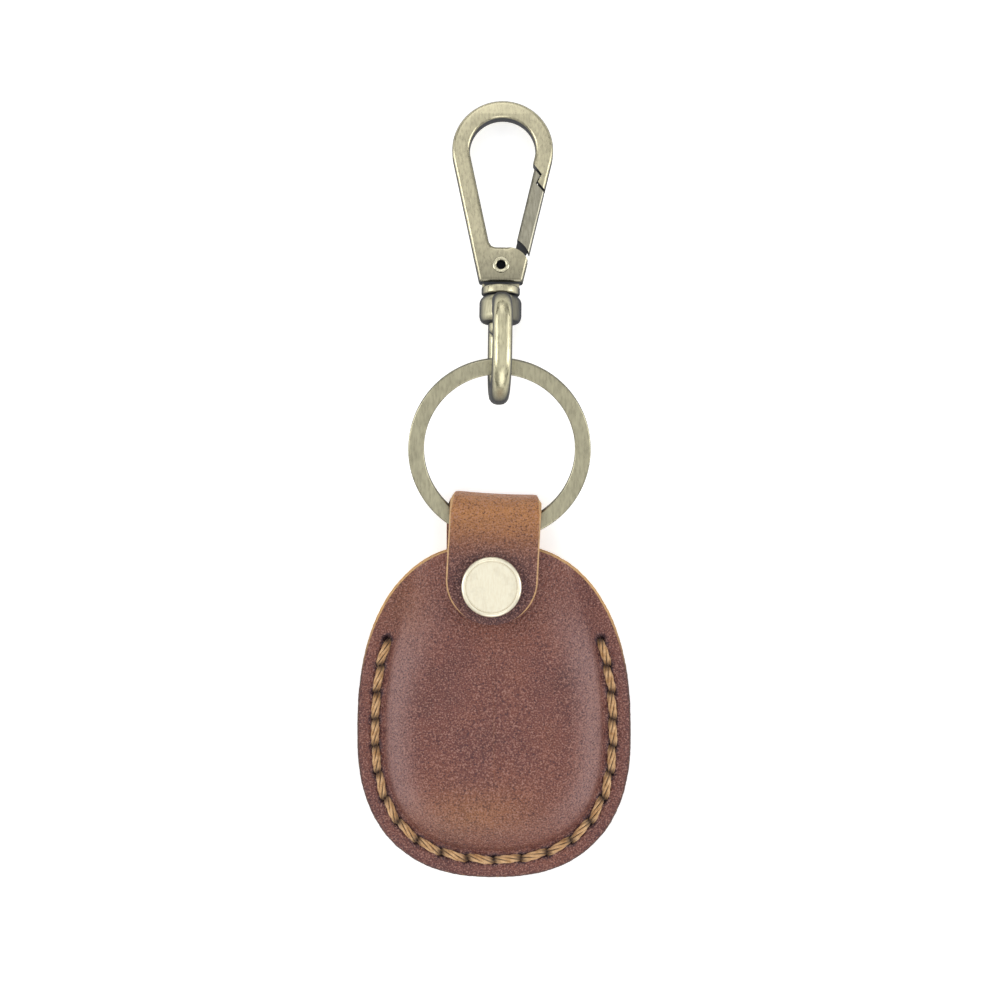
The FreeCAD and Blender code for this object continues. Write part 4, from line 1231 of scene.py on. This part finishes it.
@dataclass
class Strap:
    """The back leaf's tongue: up from the pouch, over the ring and down to the snap."""

    leather: float = 1.5
    width: float = 15.0
    start_y: float = 23.5
    waist: float = 0.62
    edge_slope: float = 0.26
    cap_dip: float = 0.34
    across_steps: int = 28
    stations: int = 220
    end_droop: float = 0.7
    bend_reach: float = 1.3
    bend_way: tuple[float, float, float] = (0.0, -0.5, 0.866)
    tuck: float = 0.08
    tuck_end_y: float = 28.2
    tuck_fade: float = 0.6
    rear_top: float = 2.0
    fold_reach: float = 4.6
    flap_above: float = 8.0

    def path(self) -> Array:
        """The strap's middle line, from inside the pouch to the flap's end.

        Returns:
            Rows of y and z.
        """
        flap_low, flap_high = box_mm("strap_flap")
        fold_high = box_mm("back_leaf")[1]
        top = flap_high[2] - self.leather / 2
        hinge = np.array(joint("strap_snap")["pos_m"]) / MM
        radius = hinge[2] / 2 - self.leather / 2
        centre_y, centre_z = fold_high[1] - self.lean_reach() - hinge[2] / 2, hinge[2] / 2
        turn = np.radians(np.linspace(-90, 86, 13))
        bend = np.column_stack([centre_y + radius * np.cos(turn), centre_z + radius * np.sin(turn)])
        lead = [(self.start_y, self.leather / 2), (27.0, self.leather / 2), (30.0, self.leather / 2)]
        snap_y = float(box_mm("snap_cap")[0][1] + box_mm("snap_cap")[1][1]) / 2
        tail = [(28.7, 9.35), (26.6, 10.5), (24.9, top), (snap_y, top), (snap_y - 3.5, top - 0.06)]
        tail += [(flap_low[1] + 1.6, top - 0.3 * self.end_droop), (flap_low[1] + 0.02, top - self.end_droop)]
        line = np.concatenate([lead, bend, tail])
        for _ in range(3):
            quarter = line[:-1] * 0.75 + line[1:] * 0.25
            three = line[:-1] * 0.25 + line[1:] * 0.75
            line = np.concatenate([line[:1], np.stack([quarter, three], 1).reshape(-1, 2), line[-1:]])
        run = np.concatenate([[0], np.cumsum(np.linalg.norm(np.diff(line, axis=0), axis=1))])
        share = np.linspace(0, 1, self.stations)
        share = np.where(share > 0.75, 0.75 + 0.25 * np.sin((share - 0.75) / 0.25 * math.pi / 2), share)
        places = share * run[-1]
        return np.stack([np.interp(places, run, line[:, n]) for n in range(2)], -1)

    def lean_reach(self) -> float:
        """How much further the leaning fold's corner reaches than its middle."""
        axis = joint("strap_snap")["axis"]
        return abs(axis[1]) * self.width / 2

    def sections(self) -> tuple[Array, Array, Array]:
        """The strap's shape, and the marks on its leather.

        Returns:
            The cross-sections, how tan each point is from the fold, and how dark it is pressed, with
            painted shade round the snap's dimple.
        """
        path = self.path()
        cap_low, cap_high = box_mm("snap_cap")
        snap = (cap_low + cap_high) / 2
        tangent = np.gradient(path, axis=0)
        tangent /= np.linalg.norm(tangent, axis=1)[:, None]
        normal = np.column_stack([tangent[:, 1], -tangent[:, 0]])
        run = np.concatenate([[0], np.cumsum(np.linalg.norm(np.diff(path, axis=0), axis=1))])
        left = run[-1] - run
        radius = self.width / 2
        half = np.where(left < radius, np.sqrt(np.maximum(radius**2 - (radius - left) ** 2, 0)), radius)
        half = np.maximum(half, 0.05)
        peak = run[int(np.argmax(path[:, 0]))]
        fold = np.clip(1 - np.abs(run - peak) / self.fold_reach, 0, 1)
        inset = self.edge_slope + self.waist * fold
        from_end = np.maximum(radius - left, 0)
        outer_half = np.sqrt(np.maximum((radius - inset) ** 2 - from_end**2, 0.0009))
        end_drop = 0.85 * self.leather * (1 - np.minimum(left / inset, 1))
        root = smooth((self.tuck_end_y - path[:, 0]) / self.tuck_fade) * (path[:, 1] < self.rear_top)
        tucked = self.tuck * root
        count = self.across_steps
        across = np.linspace(-1, 1, count + 1)
        sections, tan, press_and_shade = [], [], []
        for n in range(self.stations):
            rows = []
            for face in (1, -1):
                wide = outer_half[n] if face > 0 else half[n]
                x = across * wide
                edge = wide - np.abs(x)
                round_over = 0.1 * np.exp(-((edge / 0.3) ** 2))
                curl = 0.18 * fold[n] * across**2
                offset = self.leather / 2 - round_over - tucked[n] - (end_drop[n] if face > 0 else 0.0)
                y = path[n, 0] + normal[n, 0] * (face * offset + curl)
                z = path[n, 1] + normal[n, 1] * (face * offset + curl)
                if face > 0:
                    away = np.hypot(x, y - snap[1])
                    on_flap = path[n, 1] > self.flap_above
                    dip = self.cap_dip * np.exp(-(((away - 5.3) / 1.4) ** 2)) if on_flap else 0
                    z = z - dip
                row = np.column_stack([x, y, z])
                rows.append(row if face > 0 else row[::-1])
            outer, inner = rows
            spare = [0.1 - 0.25 * self.waist * fold[n], 0, 0]
            middle_right = outer[-1] * 0.45 + inner[0] * 0.55 + spare
            middle_left = inner[-1] * 0.55 + outer[0] * 0.45 - spare
            section = np.concatenate([outer, [middle_right], inner, [middle_left]])
            sections.append(section)
            away = np.hypot(section[:, 0], section[:, 1] - snap[1])
            on_flap = smooth((section[:, 2] - 6.5) / 3.0)
            pressed_and_shaded = on_flap * 0.42 * smooth((30.0 - section[:, 1]) / 6.0)
            # A ring round the snap is painted as the dimple's shade, with the darkening of leather pressed
            # there.
            pressed_and_shaded = pressed_and_shaded + 0.3 * on_flap * np.exp(-(((away - 5.2) / 1.3) ** 2))
            press_and_shade.append(np.clip(pressed_and_shaded, 0, 0.8))
            tan.append(np.full(len(section), 0.92 * np.exp(-(((run[n] - peak - 4.0) / 6.6) ** 2))))
        return np.array(sections), np.concatenate(tan), np.concatenate(press_and_shade)

    def make(self) -> None:
        """The strap, leaning as its joint does, bending between the pouch and the flap."""
        sections, tan, press_and_shade = self.sections()
        points, faces = sweep(sections)
        cap_low, cap_high = box_mm("snap_cap")
        snap = (cap_low + cap_high) / 2
        axis = joint("strap_snap")["axis"]
        lean = math.atan2(axis[1], axis[0]) * smooth(points[:, 2] / 4.5)
        x, y = points[:, 0], points[:, 1] - snap[1]
        leant = np.column_stack([x * np.cos(lean) - y * np.sin(lean), x * np.sin(lean) + y * np.cos(lean)])
        piece = new_piece("folded_strap", np.column_stack([leant + snap[:2], points[:, 2]]), faces)
        add_detail(piece, "fold", tan)
        add_detail(piece, "press_and_shade", press_and_shade)
        corners = sections.shape[1]
        edge = []
        for polygon in piece.data.polygons:
            columns = sorted(v % corners for v in polygon.vertices)
            right = columns[0] >= self.across_steps and columns[-1] <= self.across_steps + 2
            is_left = columns[-1] == corners - 1 and (columns[0] == 0 or columns[0] == corners - 2)
            edge.append(1 if right or is_left else 0)
        dress(piece, Finish.LEATHER, Finish.STRAP_EDGE)
        piece.data.polygons.foreach_set("material_index", edge)
        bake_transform(piece)
        settle(piece, None, "oiled_leather", "strap_flap")


@dataclass
class Snap:
    """The snap's cap, spun from brass sheet; the parts under it keep their CAD shapes."""

    rim: float = 0.42
    crown: float = 0.2

    def make(self) -> None:
        """The cap with its rolled rim, and the finish of the hidden parts."""
        low, high = box_mm("snap_cap")
        radius = float(high[0] - low[0]) / 2
        top = float(high[2])
        base = float(box_mm("strap_flap")[1][2]) - 0.12
        inner = radius - 2 * self.rim
        profile: Loop = [(0.0, top)]
        for share in np.linspace(0.15, 1, 12):
            profile.append((inner * float(share), top - self.crown * float(share) ** 2.4))
        profile += [(inner + 0.02, top - self.crown - 0.16), (inner + 0.14, top - self.crown - 0.18)]
        for angle in np.radians(np.linspace(120, -60, 14)):
            profile.append(
                (radius - self.rim + self.rim * math.cos(angle), top - 0.62 + self.rim * math.sin(angle))
            )
        profile += [(radius - 0.5, base), (0.0, base)]
        centre = (low + high) / 2
        axes = Axes(np.array([centre[0], centre[1], 0.0]), *np.eye(3))
        cap = turned("snap_cap_shell", axes, profile, 128)
        dress(cap, Finish.SATIN)
        settle(cap, "flap", "satin_brass", "snap_cap")
        for node in ("snap_stud", "snap_post", "snap_socket"):
            finish_node(node, Finish.SATIN)
        finish_node("snap_spring", Finish.STEEL)


# ---------------------------------------------------------------------------
# Key ring, swivel eye and snap hook
# ---------------------------------------------------------------------------


@dataclass
class KeyRing:
    """A flat split ring: one strip of brass-plated steel wound twice."""

    width: float = 2.6
    turn_thickness: float = 0.95
    turn_gap: float = 0.08
    bevel: float = 0.3
    step_degrees: float = 24.0
    stations: int = 720

    def section(self) -> Loop:
        """The strip's section.

        Returns:
            Corners, as radius and height from the middle.
        """
        half_w, half_t = self.width / 2, self.turn_thickness / 2
        corners = [
            (-half_w, 0.0), (-half_w, half_t), (half_w, half_t),
            (half_w, -half_t), (-half_w, -half_t), (-half_w, 0.0),
        ]
        return rounded(corners, self.bevel, 5)[:-1]

    def make(self) -> None:
        """The ring, with its step and both ends inside the strap's fold."""
        axes, radius = ring_axes()
        section = np.array(self.section())
        start = math.radians(-90 + self.step_degrees / 2)
        step = math.radians(self.step_degrees)
        angle = start + np.linspace(0, 2 * TAU - step, self.stations)
        pitch = self.turn_thickness + self.turn_gap
        share = smooth((angle - start - TAU + step) / step)
        level = (share - 0.5) * pitch
        distance = radius + section[:, 0]
        across = distance[None, :] * np.cos(angle)[:, None]
        along = distance[None, :] * np.sin(angle)[:, None]
        up = level[:, None] + section[:, 1][None, :]
        points, faces = sweep(np.stack([across, along, up], -1))
        piece = new_piece("split_key_ring", axes.place(points), faces)
        dress(piece, Finish.RING)
        settle(piece, "ring", "antique_brass", "key_ring")


def arc(centre: tuple[float, float], radius: float, start: float, end: float, steps: int) -> Loop:
    """Points on an arc, between two angles in degrees."""
    angles = np.radians(np.linspace(start, end, steps))
    return [(centre[0] + radius * math.cos(a), centre[1] + radius * math.sin(a)) for a in angles]


@dataclass
class SwivelEye:
    """The eye that the key ring hangs in: a rounded bow and the boss that holds the pin."""

    outer: float = 8.0
    inner: float = 4.7
    width: float = 3.2
    top: float = 9.95
    hole_top: float = 5.5
    corner: float = 5.0
    hole_corner: float = 2.5
    edge: float = 1.35
    twist_degrees: float = 3.5
    boss_radius: float = 3.45
    bore_radius: float = 1.36
    # How much darker the boss's left and right sides are drawn.
    left_darkening: float = 0.3
    right_darkening: float = 0.72

    def axes(self) -> Axes:
        """The chain's axes, turned by the eye's small twist.

        Returns:
            The eye's own axes.
        """
        chain = chain_axes()
        turn = Matrix.Rotation(math.radians(self.twist_degrees), 3, Vector(chain.along))
        across, up = (np.array(turn @ Vector(v)) for v in (chain.across, chain.up))
        return Axes(chain.origin, across, chain.along, up)

    def loop(self, radius: float, top: float, corner: float) -> Loop:
        """The bow's outline or its hole: half-round below, round corners above.

        Args:
            radius: half the width.
            top: how far along the outline ends.
            corner: radius of the two upper corners.
        Returns:
            Points of along and up.
        """
        points = arc((0, 0), radius, 90, 270, 60)
        points += arc((top - corner, corner - radius), corner, 270, 360, 24)
        points += arc((top - corner, radius - corner), corner, 0, 90, 24)
        return points

    def make(self) -> None:
        """The eye with its boss, bored for the pin."""
        axes = self.axes()
        outline = self.loop(self.outer, self.top, self.corner)
        loops = [outline, self.loop(self.inner, self.hole_top, self.hole_corner)]
        bow = plate("swivel_eye_bow", axes, loops, self.width, self.edge, across_plane=True)
        upright = axes.standing()
        low, high = self.hole_top - 0.02, self.top
        profile = rounded(
            [(0, low), (self.boss_radius - 0.35, low), (self.boss_radius, low + 0.8),
             (self.boss_radius, high - 0.85), (self.boss_radius - 0.75, high), (0, high)], 0.5, 6,
        )
        boss = turned("boss", upright, profile)
        bow = combine(bow, boss, Join.FUSE)
        wide = self.bore_radius
        bore = turned("bore", upright, [(0, 1.0), (wide, 1.0), (wide, high + 1), (0, high + 1)], 64)
        bow = combine(bow, bore, Join.CUT)
        local = np.array([vertex.co for vertex in bow.data.vertices]) / MM - axes.origin
        aside, along = local @ axes.across, local @ axes.along
        beside = self.width / 2 + 0.05
        # The boss's sides are drawn darker, the right side more than the left.
        left_side = np.where(aside < -beside, self.left_darkening, 0.0)
        boss_side = np.where(aside > beside, self.right_darkening, left_side)
        add_detail(bow, "recess", np.where(along > self.hole_top - 0.1, boss_side, 0.0))
        dress(bow, Finish.EYE)
        settle(bow, "eye", "antique_brass", "swivel_eye")


@dataclass
class SnapHook:
    """The die-cast hook, its swivel pin, and the sprung gate on a tubular rivet."""

    thickness: float = 3.5
    edge: float = 0.62
    crown_y: float = 34.3
    outer: float = 8.3
    inner: float = 5.4
    flange_bottom: float = 10.05
    flange_top: float = 11.45
    flange_radius: float = 3.15
    base_half: float = 3.4
    mouth_y: float = 17.9
    rivet_y: float = 14.9
    rivet_radius: float = 1.1
    rivet_head: float = 1.38
    rivet_hole: float = 0.75
    gate_width: float = 2.5
    gate_thickness: float = 2.7
    gate_edge: float = 0.5
    tongue_thickness: float = 1.5
    tongue_radius: float = 2.5
    cheek_radius: float = 3.55
    cheek_offset: tuple[float, float] = (1.1, -0.6)
    cheek_corner: float = 0.8
    tongue_foot: float = 17.2
    shoulder_radius: float = 5.0
    slot_floor: float = 12.1
    notch: tuple[tuple[float, float], ...] = ((5.27, 31.75), (6.49, 30.2), (5.85, 28.9), (7.12, 27.5))
    gate_gap: tuple[float, float] = (-0.32, -0.17)
    neck_top: float = 12.05
    neck_thickness: float = 2.5
    bore_reach: float = 4.0
    pin_foot: float = 5.44
    axes: Axes = field(default_factory=chain_axes)

    def local(self, piece: bpy.types.Object) -> Array:
        """A piece's vertices in the hook's own axes, in millimetres."""
        points = np.array([vertex.co for vertex in piece.data.vertices]) / MM - self.axes.origin
        return points @ np.stack([self.axes.across, self.axes.along, self.axes.up]).T

    def rivet_axes(self) -> Axes:
        """The hook's axes, with their origin on the gate rivet."""
        middle = self.axes.place(np.array([[0, self.rivet_y, 0]]))[0]
        return Axes(middle, self.axes.across, self.axes.along, self.axes.up)

    def rivet_bore(self, radius: float) -> bpy.types.Object:
        """A cutter on the rivet's axis, through the whole hook.

        Args:
            radius: the bore's radius.
        Returns:
            The cutter.
        """
        reach = self.bore_reach
        loop = [(0, -reach), (radius, -reach), (radius, reach), (0, reach)]
        return turned("hole", self.rivet_axes(), loop, 48)

    def slope(self) -> float:
        """The angle by which each side runs in towards the base.

        Returns:
            The angle in radians.
        """
        angle = 0.0
        height = self.crown_y - self.flange_top
        for _ in range(20):
            angle = math.asin((self.outer - self.base_half * math.cos(angle)) / height)
        return angle

    def half(self, radius: float, y: float) -> float:
        """Half the width at a place along the hook, on the tangent of a crown circle."""
        slope = self.slope()
        return (radius - (self.crown_y - y) * math.sin(slope)) / math.cos(slope)

    def teardrop(self, radius: float, bottom: float, corner: float) -> Loop:
        """The crown's arc with straight sides, and rounded corners at the bottom.

        Args:
            radius: the crown's radius.
            bottom: where along the hook the loop ends.
            corner: size of the bottom corners.
        Returns:
            The loop's points.
        """
        slope = math.degrees(self.slope())
        points = arc((0, self.crown_y), radius, -slope, 180 + slope, 90)
        half = self.half(radius, bottom)
        up = bottom + corner
        cut = 0.25 * corner
        left = [(-self.half(radius, up), up), (-half + cut, bottom + cut), (-half + corner, bottom)]
        right = [(-x, y) for x, y in left[::-1]]
        return points + left + right

    def notch_line(self, gap: tuple[float, float]) -> Loop:
        """The stepped joint between the nose and the gate, run on at both ends.

        Args:
            gap: how far the line is moved across and along.
        Returns:
            The line's points.
        """
        line = [np.array(p) for p in self.notch]
        first = line[0] + (line[0] - line[1]) / np.linalg.norm(line[0] - line[1]) * 1.5
        last = line[-1] + (line[-1] - line[-2]) / np.linalg.norm(line[-1] - line[-2]) * 2.5
        moved = [p + np.array(gap) for p in [first] + line + [last]]
        return [(float(p[0]), float(p[1])) for p in moved]

    def gate_space(
        self, gap: tuple[float, float], offset: tuple[float, float], radius: float, low: float
    ) -> Loop:
        """The space of the right-hand bar, outside a circle near the rivet.

        Args:
            gap: how far the notch line is moved.
            offset: the circle's centre from the rivet.
            radius: the circle's radius.
            low: how far above the rivet the space ends at its outer side.
        Returns:
            The space's outline.
        """
        line = self.notch_line(gap)
        start = math.degrees(math.asin((low - offset[1]) / radius))
        around = arc((offset[0], self.rivet_y + offset[1]), radius, start, 95.0, 32)
        corner = (self.outer + 2, around[0][1])
        return line + [corner] + around + [(0.2, around[-1][1] + 0.5), (0.2, line[0][1])]

    def gate_cutter(self, space: Loop) -> bpy.types.Object:
        """A space's outline as a solid, much thicker than the hook."""
        return plate("gate_space", self.axes, [space], 3 * self.thickness, 0.0001)

    def make_body(self) -> None:
        """Spine, crown, nose and cheeks in one casting, with the flange under it."""
        loops = [self.teardrop(self.outer, self.neck_top, 0.3), self.teardrop(self.inner, self.mouth_y, 0.9)]
        body = plate("hook_casting", self.axes, loops, self.thickness, self.edge)
        space = self.gate_space((0, 0), self.cheek_offset, self.cheek_radius, self.cheek_corner)
        body = combine(body, self.gate_cutter(space), Join.CUT)
        upright = self.axes.standing()
        low, high = self.flange_bottom, self.flange_top
        profile = rounded(
            [(0, low), (self.flange_radius - 0.2, low), (self.flange_radius, low + 0.2),
             (self.flange_radius, high - 0.2), (self.flange_radius - 0.25, high), (0, high)], 0.15, 5,
        )
        half, low = self.base_half - 0.35, self.flange_top - 0.25
        neck_loop = [(-half, low), (half, low), (half, self.neck_top + 0.7), (-half, self.neck_top + 0.7)]
        body = combine(body, plate("neck", self.axes, [neck_loop], self.neck_thickness, 0.15), Join.FUSE)
        body = combine(body, turned("flange", upright, profile), Join.FUSE)
        slot_half = self.tongue_thickness / 2 + 0.06
        low, high = self.slot_floor, self.mouth_y + 1
        left, right = -self.tongue_radius - 0.25, 9.0
        slot_loop = [(left, low), (right, low), (right, high), (left, high)]
        slot = plate("slot", self.axes, [slot_loop], 2 * slot_half, 0.0001)
        body = combine(body, slot, Join.CUT)
        body = combine(body, self.rivet_bore(self.rivet_radius), Join.CUT)
        local = self.local(body)
        # The neck between the base and the flange is drawn dark: patina in the recess, and painted shade.
        narrow = (np.abs(local[:, 1] - (self.flange_top + self.neck_top) / 2) < 0.33) & (
            np.abs(local[:, 2]) < self.neck_thickness / 2 + 0.01
        )
        add_detail(body, "recess", np.where(narrow, 0.92, 0.0))
        dress(body, Finish.HOOK)
        settle(body, "hook", "antique_brass", "hook_body")

    def make_gate(self) -> None:
        """The gate's bar with its stepped nose, and the thin tongue on the rivet."""
        inner = self.outer - self.gate_width
        loops = [self.teardrop(self.outer, self.flange_top, 0.3), self.teardrop(inner, self.rivet_y - 1, 0.3)]
        bar = plate("gate_bar", self.axes, loops, self.gate_thickness, self.gate_edge)
        space = self.gate_space(self.gate_gap, (0.0, 0.0), self.shoulder_radius, 0.3)
        bar = combine(bar, self.gate_cutter(space), Join.KEEP_SHARED)
        shoulder = self.rivet_y + self.shoulder_radius + 1.0
        left, right = self.half(inner, shoulder) + 0.1, self.half(self.outer, shoulder) - self.gate_edge
        foot = self.tongue_foot
        hub = arc((0, self.rivet_y), self.tongue_radius, 90, 360, 54)
        inner_foot = (self.half(inner, foot) + 0.1, foot)
        outer_foot = (self.half(self.outer, foot) - self.gate_edge, foot)
        tongue_loop = hub + [outer_foot, (right, shoulder), (left, shoulder), inner_foot]
        tongue = plate("tongue", self.axes, [tongue_loop], self.tongue_thickness, 0.05)
        gate = combine(bar, tongue, Join.FUSE)
        gate = combine(gate, self.rivet_bore(self.rivet_radius + 0.05), Join.CUT)
        gate.name = "gate_lever"
        local = self.local(gate)
        # The tongue inside the hook's slot is drawn dark: painted shade between the parts, with patina.
        deep = (np.abs(local[:, 2]) < self.tongue_thickness / 2 + 0.02) & (local[:, 1] < shoulder)
        add_detail(gate, "recess", np.where(deep, 0.92, 0.0))
        dress(gate, Finish.GATE)
        settle(gate, "gate", "antique_brass", "gate")

    def make_rivet(self) -> None:
        """The gate rivet: a rolled rim round a blind hole in front, and a plain head behind."""
        half = self.thickness / 2
        high = half + 0.2
        bore, head, shank = self.rivet_hole, self.rivet_head, self.rivet_radius
        blind = [(0.0, high - 1.7), (bore, high - 1.5), (bore, high - 0.12), (bore + 0.22, high)]
        rim = [(head - 0.14, high), (head, high - 0.14), (head, half), (shank, half), (shank, 0.0)]
        back = [(shank, -half), (head, -half), (head, -high + 0.14), (head - 0.3, -high), (0.0, -high - 0.05)]
        profile = rounded(blind + rim + back, 0.1, 4)
        rivet = turned("semi_tubular_gate_rivet", self.rivet_axes(), profile, 64)
        local = self.local(rivet)
        # Painted shade inside the rivet's blind hole.
        radius = np.hypot(local[:, 0], local[:, 1] - self.rivet_y)
        inside = (radius < bore + 0.03) & (local[:, 2] > 0) & (local[:, 2] < high - 0.25)
        add_detail(rivet, "recess", np.where(inside, 1.0, 0.0))
        dress(rivet, Finish.RIVET)
        settle(rivet, "hook", "antique_brass", "gate_rivet")

    def make_pin(self) -> None:
        """The swivel pin, with its peened head under the boss."""
        top = self.pin_foot
        low = top - 2.0
        profile = rounded(
            [(0, low), (1.3, low), (1.95, low + 0.6), (2.0, top), (1.3, top), (1.3, self.flange_bottom + 1.8),
             (0, self.flange_bottom + 1.8)], 0.35, 6,
        )
        pin = turned("peened_swivel_pin", self.axes.standing(), profile, 64)
        dress(pin, Finish.EYE)
        settle(pin, "hook", "antique_brass", "swivel_pin")

    def make(self) -> None:
        """Every piece of the hook."""
        self.make_body()
        self.make_gate()
        self.make_rivet()
        self.make_pin()
        finish_node("gate_spring", Finish.STEEL)


# ---------------------------------------------------------------------------
# Studio
# ---------------------------------------------------------------------------


@dataclass
class Studio:
    """An opal light table as the floor, soft boxes round the holder, and a camera above it."""

    field_mm: float = 164.28
    aim_x: float = 0.986
    aim_y: float = 34.66
    aim_z: float = 5.0
    lens: float = 150.0
    sensor: float = 36.0
    horizon: float = 0.1
    low_sky: float = 0.12
    high_sky: float = 0.95
    floor_half_m: float = 1.2
    floor_drop: float = 0.02

    def camera(self) -> None:
        """The camera, looking straight down with the hook at the top of the view."""
        data = bpy.data.cameras.new("camera")
        data.lens, data.sensor_width = self.lens, self.sensor
        camera = bpy.data.objects.new("camera", data)
        distance = self.lens * self.field_mm / self.sensor
        camera.location = Vector((self.aim_x, self.aim_y, self.aim_z + distance)) * MM
        data.clip_start, data.clip_end = 0.01, 10.0
        bpy.context.scene.collection.objects.link(camera)
        bpy.context.scene.camera = camera

    def floor(self) -> None:
        """The light table's top, just under the holder."""
        size = self.floor_half_m
        points = [(-size, -size, 0), (size, -size, 0), (size, size, 0), (-size, size, 0)]
        piece = new_piece("paper_floor", np.array(points) / MM - [0, 0, self.floor_drop], [(0, 1, 2, 3)])
        dress(piece, Finish.FLOOR)

    def soft_box(self, name: str, place: tuple[float, float, float], size: float, watts: float) -> None:
        """A square area light aimed at the middle of the holder.

        Args:
            name: the light's name.
            place: where it hangs, in metres.
            size: its side, in metres.
            watts: its power.
        """
        data = bpy.data.lights.new(name, "AREA")
        data.shape, data.size, data.energy = "SQUARE", size, watts
        light = bpy.data.objects.new(name, data)
        light.location = Vector(place)
        aim = Vector((self.aim_x, self.aim_y, 0)) * MM - light.location
        light.rotation_euler = aim.to_track_quat("-Z", "Y").to_euler()
        bpy.context.scene.collection.objects.link(light)

    def make(self) -> None:
        """The whole studio."""
        self.camera()
        self.floor()
        self.soft_box("left_box", (-0.8, 0.1, 0.42), 0.5, 2.8)
        self.soft_box("right_box", (0.8, 0.05, 0.38), 0.5, 2.6)
        self.soft_box("near_box", (0.1, -0.8, 0.55), 0.6, 2.2)
        self.soft_box("far_box", (-0.1, 0.85, 0.6), 0.6, 1.4)
        world = bpy.data.worlds.new("studio")
        world.use_nodes = True
        tree = world.node_tree
        direction = add_node(tree, Kind.COORDINATES).outputs["Generated"]
        height = add_node(tree, Kind.SPLIT, Vector=direction).outputs[2]
        sky = carried(self.horizon, 1.0, self.low_sky, self.high_sky)
        level = add_node(tree, Kind.RANGE, sky, Value=height).outputs[0]
        tree.links.new(level, tree.nodes["Background"].inputs[0])
        bpy.context.scene.world = world
        bpy.context.scene.view_settings.view_transform = "Standard"


def main() -> None:
    """Build the studio and the holder."""
    Studio().make()
    Pouch().make()
    Strap().make()
    Snap().make()
    KeyRing().make()
    SwivelEye().make()
    SnapHook().make()


if __name__ == "__main__":
    main()
